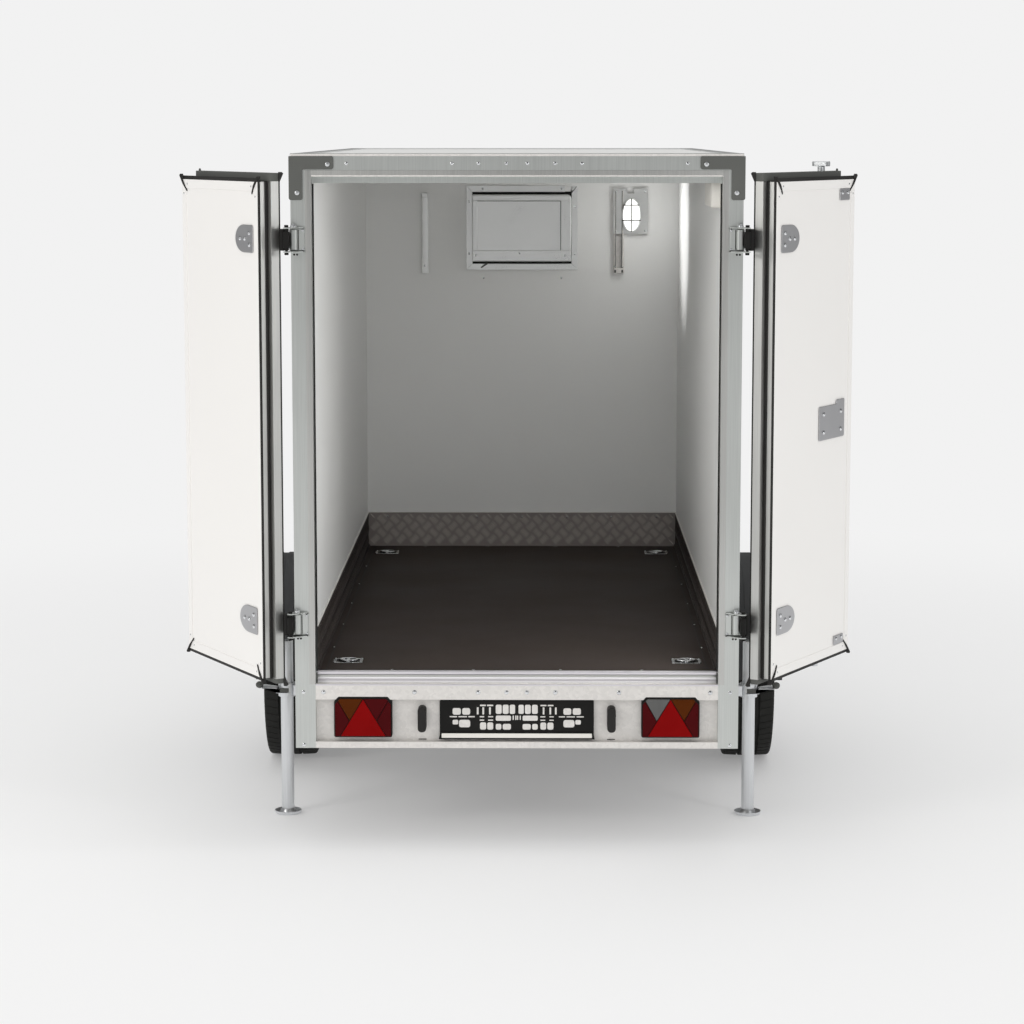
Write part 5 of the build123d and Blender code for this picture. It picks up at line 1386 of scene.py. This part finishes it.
def tyre():
    """Radius = section radius - groove depth x the larger of the ring mask and the cross mask."""
    rib = np.concatenate([[c - 5, c - 4, c + 4, c + 5] for c in (-33.0, 0.0, 33.0)])
    crown = np.concatenate([[-half_tread, -59], rib, [59, half_tread]])
    bend = np.linspace(0, pi / 2, 6)[1:]
    edge_x, edge_r = half_tread + 12 * np.sin(bend), RADIUS - 14.8 + 12 * np.cos(bend)
    wall = np.array([(91.6, 284), (92.5, 282), (92.5, 277), (91.4, 275), (90.5, 240), (87, 221),
                     (88, 219), (87, 214), (85, 212), (80, 199), (77.5, 193), (69.5, 191.5),
                     (68, 178), (52, 178), (72, 245), (66, 300)])
    side_x, side_r = np.concatenate([edge_x, wall[:, 0]]), np.concatenate([edge_r, wall[:, 1]])
    x = np.concatenate([crown, side_x, -side_x[::-1]])
    r = np.concatenate([RADIUS - crown ** 2 / 2300, side_r, side_r[::-1]])
    ring = (np.abs(np.abs(np.abs(x) - 16.5) - 16.5) < 4.5) & (r > 320)
    cross = np.where(r < 300, 0.0, np.where(np.abs(x) > 36, 0.32, 0.12))
    start = np.arange(BLOCKS)[:, None] + np.array([0.0, 0.03, 0.17, 0.20, 0.60])
    slot = np.tile([0.0, 1.0, 1.0, 0.0, 0.0], BLOCKS)
    lean = 0.55 * np.clip(np.abs(x), 0, half_tread) / half_tread
    angle = (start.reshape(1, -1) + lean[:, None]) * 2 * pi / BLOCKS
    depth = GROOVE * np.maximum(ring[:, None] * 1.0, cross[:, None] * slot)
    radius = r[:, None] - depth
    across = np.repeat(x[:, None], angle.shape[1], 1)
    return skin(np.stack([across, radius * np.sin(angle), radius * np.cos(angle)], -1), closed=True)


rubber = moved(tyre(), WHEEL)
for side, shape in (("right", rubber), ("left", mirrored(rubber))):
    piece("tyre_tread_" + side, shape, "wheel_" + side, "tyre_rubber", "tyre_" + side, sharp=26.0)

# %% Wheel nuts and valves
turn = np.arange(5) * 2 * pi / 5
studs = np.stack([56 * np.sin(turn), 56 * np.cos(turn), 29 + 0 * turn], 1)
nuts = [copies(hexagon(12.9, 14), studs), copies(dome(7, 4), studs + (0, 0, 14))]
valve = turned([(5, 0), (5, 12), (3.4, 13), (3.4, 18), (4.2, 19), (4.2, 27), (3, 28), (0.1, 28),
                (0.1, 0)], 16)
for side, flip in (("right", lambda shape: shape), ("left", mirrored)):
    made = moved(facing(joined(*nuts), (0, 0, 0), RIGHT), WHEEL)
    piece("wheel_nuts_" + side, flip(made), "wheel_" + side, "zinc_bright")
    made = moved(facing(moved(valve, (74, 128, 18)), (0, 0, 0), RIGHT), WHEEL)
    piece("wheel_valve_" + side, flip(made), "wheel_" + side, "black_rubber")

# %% Mudguards
# One section with two shallow channels, which stiffen the plastic, is carried round half a circle.
_, (guard_out, _, guard_top) = drawn("mudguard_right")
GUARD_WIDE, ARCH = 235.0, 398.0
INNER_X = guard_out - GUARD_WIDE
arch_z = guard_top - ARCH
section = [(0, -30), (4, -30), (4, -6.5), (231, -6.5), (231, -24), (235, -24), (235, -1.5), (233.5, 0),
           (167, 0), (164, -3), (143, -3), (140, 0), (97, 0), (94, -3), (73, -3), (70, 0), (1.5, 0),
           (0, -1.5)]
turn = np.linspace(pi + 0.075, -0.075, 49)
ray = np.stack([0 * turn, np.cos(turn), np.sin(turn)], 1)
path = np.array([INNER_X, WHEEL[1], arch_z]) + ARCH * ray
arch = along(path, rounded(section, 0.6, 3), ray)
stays = [block(RAIL, INNER_X + 3, WHEEL[1] + dy - 20, WHEEL[1] + dy + 20, 700, 752, 3, 2)
         for dy in (-180, 180)]
piece("mudguards", paired(joined(arch, *stays)), "trailer", "mudguard_plastic", "mudguard_left",
      "mudguard_right", sharp=40.0)

# %% [markdown]
# ## Drawbar and coupling
#
# The trailer is pulled by a V of square tube. At its tip sits an overrun coupling: a shaft that
# slides in a housing and works the brakes, hidden in a folded rubber bellows. The bellows is a
# profile turned about the shaft whose radius follows a cosine, one wave to a fold.

# %% Coupling
BAR_TOP = drawn("drawbar_right")[1][2]
BAR_MID = (drawn("drawbar_right")[0][2] + BAR_TOP) / 2
TIP = drawn("coupling")[1][1]
shaft_z, head_y, bellows_y = BAR_MID + 12, TIP - 38, TIP - 265
housing = [block(-34, 34, bellows_y - 330, bellows_y, BAR_MID - 36, BAR_MID + 46, 8, 6),
           block(-92, 92, bellows_y - 320, bellows_y - 230, BAR_TOP, BAR_TOP + 8, 6, 1.5),
           rod((0, bellows_y + 70, shaft_z), (0, bellows_y + 170, shaft_z), 25, 32),
           block(-29, 29, bellows_y + 120, head_y, BAR_MID - 8, BAR_MID + 36, 9, 7),
           block(-9, 9, bellows_y + 108, head_y - 14, BAR_MID + 34, BAR_MID + 52, 5, 4)]
cup = turned([(0.1, 38), (10, 37), (20, 31), (25, 19), (25, 0), (36, 0), (38, 2), (38, 39), (35, 49),
              (27, 57), (15, 61.5), (0.1, 62)], 40)
housing.append(moved(cup, (0, head_y, BAR_MID - 25)))
lever = rounded([(bellows_y - 190, BAR_MID - 20), (bellows_y - 110, BAR_MID - 20),
                 (bellows_y - 118, BAR_MID + 30), (bellows_y - 132, BAR_MID + 62),
                 (bellows_y - 158, BAR_MID + 62), (bellows_y - 190, BAR_MID + 20)], 9)
housing += [facing(plate(lever, 0.0, 14.0, 2.0), (36, 0, 0), RIGHT),
            rod((43, bellows_y - 145, BAR_MID + 45), (43, bellows_y, BAR_MID + 300), 9),
            rod((28, bellows_y - 150, BAR_MID), (54, bellows_y - 150, BAR_MID), 12)]
piece("coupling_body", joined(*housing), "trailer", "coupling_steel", "coupling")
heads = [(x, y, BAR_TOP + 8) for x in (-66, 66) for y in (bellows_y - 298, bellows_y - 252)]
cross = [(x, bellows_y - 200 + dy, BAR_MID + 46) for x in (-20, 20) for dy in (0, 120)]
bolts = [copies(hexagon(12, 9), heads), copies(hexagon(8, 6), cross),
         rod((-38, bellows_y + 140, BAR_MID + 10), (38, bellows_y + 140, BAR_MID + 10), 7)]
piece("coupling_bolts", joined(*bolts), "trailer", "zinc_bright")

# %% Bellows and grips
reach = np.linspace(0, 84, 57)
wave = np.stack([34.4 - 3.6 * np.cos(reach / 12 * 2 * pi), reach], 1)
ends = [[(27, -2), (37, -2), (37.5, 1)], [(37, 86), (36, 90), (25.5, 91)]]
boot = turned(np.concatenate([ends[0], wave[1:-1], ends[1]]), 40)
piece("coupling_bellows", facing(boot, (0, bellows_y, shaft_z), FRONT), "trailer", "black_rubber",
      sharp=60.0)
grips = [rod((0, bellows_y + 118, BAR_MID + 47), (0, bellows_y + 48, BAR_MID + 74), 10, 24, 4),
         rod((43, bellows_y - 2, BAR_MID + 296), (43, bellows_y + 45, BAR_MID + 380), 14, 24, 5)]
piece("coupling_grips", joined(*grips), "trailer", "black_plastic")

# %% Saddles under the drawbar
(x0, y0), (x1, y1) = (655.0, 2020.0), (62.0, 3900.0)
saddles, nuts = [], []
for y in (2062.0, 2560.0, 3040.0):
    x = x0 + (x1 - x0) * (y - y0) / (y1 - y0)
    low = BAR_TOP - 80
    saddles.append(block(x - 46, x + 46, y - 18, y + 18, low - 6, low, 4, 1.5))
    for dx in (-36, 36):
        saddles.append(rod((x + dx, y, low - 14), (x + dx, y, BAR_TOP + 2), 5))
        nuts.append(moved(hexagon(9, 8), (x + dx, y, low - 14)))
piece("drawbar_saddles", paired(joined(*saddles)), "trailer", "galvanised")
piece("drawbar_nuts", paired(joined(*nuts)), "trailer", "zinc_bright")

# %% Jack
# The jockey wheel's jack has a crank with a turning grip, and a lever that locks it in its clamp.
(crank_x, _, _), (_, _, crank_top) = drawn("jack_sleeve")
(jack_x0, jack_y0, _), (jack_x1, jack_y1, _) = drawn("jack_tube")
JACK = np.array([(jack_x0 + jack_x1) / 2, (jack_y0 + jack_y1) / 2, 0.0])
handle = turned([(12.2, 0), (14.5, 2), (13.4, 14), (14.5, 34), (13, 46), (8, 50), (0.1, 50.5), (0.1, 0)], 24)
lock = [moved(handle, (crank_x + 12, JACK[1], crank_top - 50.5)),
        rod(JACK + (0, -36, BAR_MID + 6), JACK + (0, -104, BAR_MID + 30), 6, 16, 3)]
piece("jack_grips", joined(*lock), "trailer", "black_plastic")
bands = [moved(turned([(30.2, -7), (32.5, -6), (32.5, 6), (30.2, 7)], 32, True), JACK + (0, 0, z))
         for z in (352, 640, 792)]
bands.append(rod(JACK + (0, -30, BAR_MID + 6), JACK + (0, -42, BAR_MID + 6), 9))
piece("jack_bands", joined(*bands), "trailer", "zinc_steel")
(wheel_x0, wheel_y0, _), (wheel_x1, wheel_y1, wheel_top) = drawn("jockey_wheel")
castor = np.array([(wheel_x0 + wheel_x1) / 2, (wheel_y0 + wheel_y1) / 2, wheel_top / 2])
dish = turned([(26.3, 29), (30.3, 15.4), (64, 15.4), (70, 26.4), (72, 26.4), (66, 14.2), (30, 14.2),
               (26.3, 14.2)][::-1], 40, True)
caps = [moved(facing(dish, (0, 0, 0), way), castor) for way in (RIGHT, LEFT)]
piece("jockey_dishes", joined(*caps), "jockey_wheel", "zinc_steel", finish_as="cream_plastic")

# %% [markdown]
# ## Cooling unit outside
#
# The condenser hangs on the front wall in a moulded housing. Air passes through a louvred panel:
# one slanted blade, repeated. Screws and a seam show where the housing comes off for service.

# %% Louvres
(grille_x, grille_back, grille_low), (grille_end, _, grille_high) = drawn("fridge_grille")
rim = frame_strip((grille_x, grille_end), (grille_low, grille_high), 22.0, grille_back,
                  grille_back + 37, 2.0)
back = facing(plate(rectangle(grille_x + 4, grille_end - 4, grille_low + 4, grille_high - 4, 2), 0, 5, 1),
              (0, grille_back, 0), FRONT)
blade_line = rounded([(6, 10), (8, 12), (33, -2), (33, -6), (30, -6)][::-1], 0.6, 3)
spans = (grille_x + 21, grille_x + 22, grille_end - 22, grille_end - 21)
blades = skin(np.stack([np.column_stack([np.full(len(blade_line), x), blade_line]) for x in spans]))
levels = np.arange(grille_low + 36, grille_high - 26, 14.5)
louvres = copies(blades, [(0, grille_back, z) for z in levels])
posts = [block(x - 4, x + 4, grille_back + 4, grille_back + 35, grille_low + 20, grille_high - 20, 1.5, 1)
         for x in (-116, 116)]
piece("condenser_louvres", joined(rim, back, louvres, *posts), "trailer", "black_plastic",
      "fridge_grille")

# %% Housing seams and screws
(_, unit_y0, unit_low), (unit_half, _, unit_high) = drawn("fridge_housing")
seam = [paired(block(unit_half - 0.4, unit_half + 0.4, unit_y0 + 46, unit_y0 + 50, unit_low + 1,
                     unit_high - 1, 0.2, 0.1)),
        block(-unit_half, unit_half, unit_y0 + 46, unit_y0 + 50, unit_high - 0.4, unit_high + 0.4, 0.2, 0.1)]
flange = [paired(block(unit_half, unit_half + 9, unit_y0, unit_y0 + 5, unit_low, unit_high, 1.5, 1)),
          block(-unit_half - 9, unit_half + 9, unit_y0, unit_y0 + 5, unit_high - 1, unit_high + 9, 1.5, 1),
          block(-unit_half - 9, unit_half + 9, unit_y0, unit_y0 + 5, unit_low - 9, unit_low + 1, 1.5, 1)]
piece("condenser_seams", joined(*seam), "trailer", "black_rubber")
piece("condenser_flange", joined(*flange), "trailer", "unit_shell")
sides = [(y, z, 0) for y in (unit_y0 + 30, unit_y0 + 150, unit_y0 + 250)
         for z in (unit_low + 40, unit_high - 40)]
rim_heads = [(x, z, 0) for x in (-330, -116, 116, 330) for z in (grille_low + 11, grille_high - 11)]
heads = [paired(facing(copies(dome(6, 2.5), sides), (unit_half, 0, 0), RIGHT)),
         facing(copies(dome(5, 2), rim_heads), (0, grille_back + 37, 0), FRONT)]
piece("condenser_screws", joined(*heads), "trailer", "zinc_bright")

# %% Marker lamps
outer_x, nose_y, _ = drawn("body_profiles")[1]
SIDE_MARKERS = (900.0, 2350.0)
round_up = [(0, 6), (0, 13), (1.2, 16.5), (4, 18.5)]
front_line, side_line = rectangle(640, 690, 640, 700, 7), rectangle(-50, 50, 455, 495, 7)
bases = [paired(facing(plate(front_line, 0.0, 8.0, 1.2), (0, nose_y, 0), FRONT)),
         *[paired(facing(plate(side_line + (y, 0), 2.0, 8.0, 1.2), (RAIL, 0, 0), RIGHT))
           for y in SIDE_MARKERS]]
piece("marker_bases", joined(*bases), "trailer", "lamp_amber", "marker_lamps",
      finish_as="black_plastic")
clear = paired(facing(tray(inset(front_line, 2.5), round_up), (0, nose_y, 0), FRONT))
amber = [paired(facing(tray(inset(side_line, 2.5) + (y, 0), round_up), (RAIL, 0, 0), RIGHT))
         for y in SIDE_MARKERS]
piece("marker_lenses_front", clear, "trailer", "lamp_amber", finish_as="lamp_clear")
piece("marker_lenses_side", joined(*amber), "trailer", "lamp_amber")

# %% Rivets of the edge profiles
skirt_z, roof_z = FLOOR - 8, ROOF - 70
rows = [(y, z, 0) for z in (skirt_z, roof_z) for y in np.linspace(110, nose_y - 40, 13)]
front_row = [(x, z, 0) for z in (skirt_z, roof_z) for x in np.linspace(-700, 700, 7)]
posts = [(x, z, 0) for x in (-722, 722) for z in np.linspace(700, 2200, 6)]
heads = [paired(facing(copies(dome(5, 2), rows), (outer_x, 0, 0), RIGHT)),
         facing(copies(dome(5, 2), front_row + posts), (0, nose_y, 0), FRONT)]
piece("profile_rivets", joined(*heads), "trailer", "zinc_bright")

# %% [markdown]
# ## Measure and finish
#
# The dressed trailer has to fill the same box as the engineering model, so both boxes are
# written down side by side.

# %% Size and finish
SIZES = {"cad": CAD_BOX, "visual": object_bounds()}
plain = {k: [[float(v) for v in corner] for corner in box] for k, box in SIZES.items()}
print(plain)
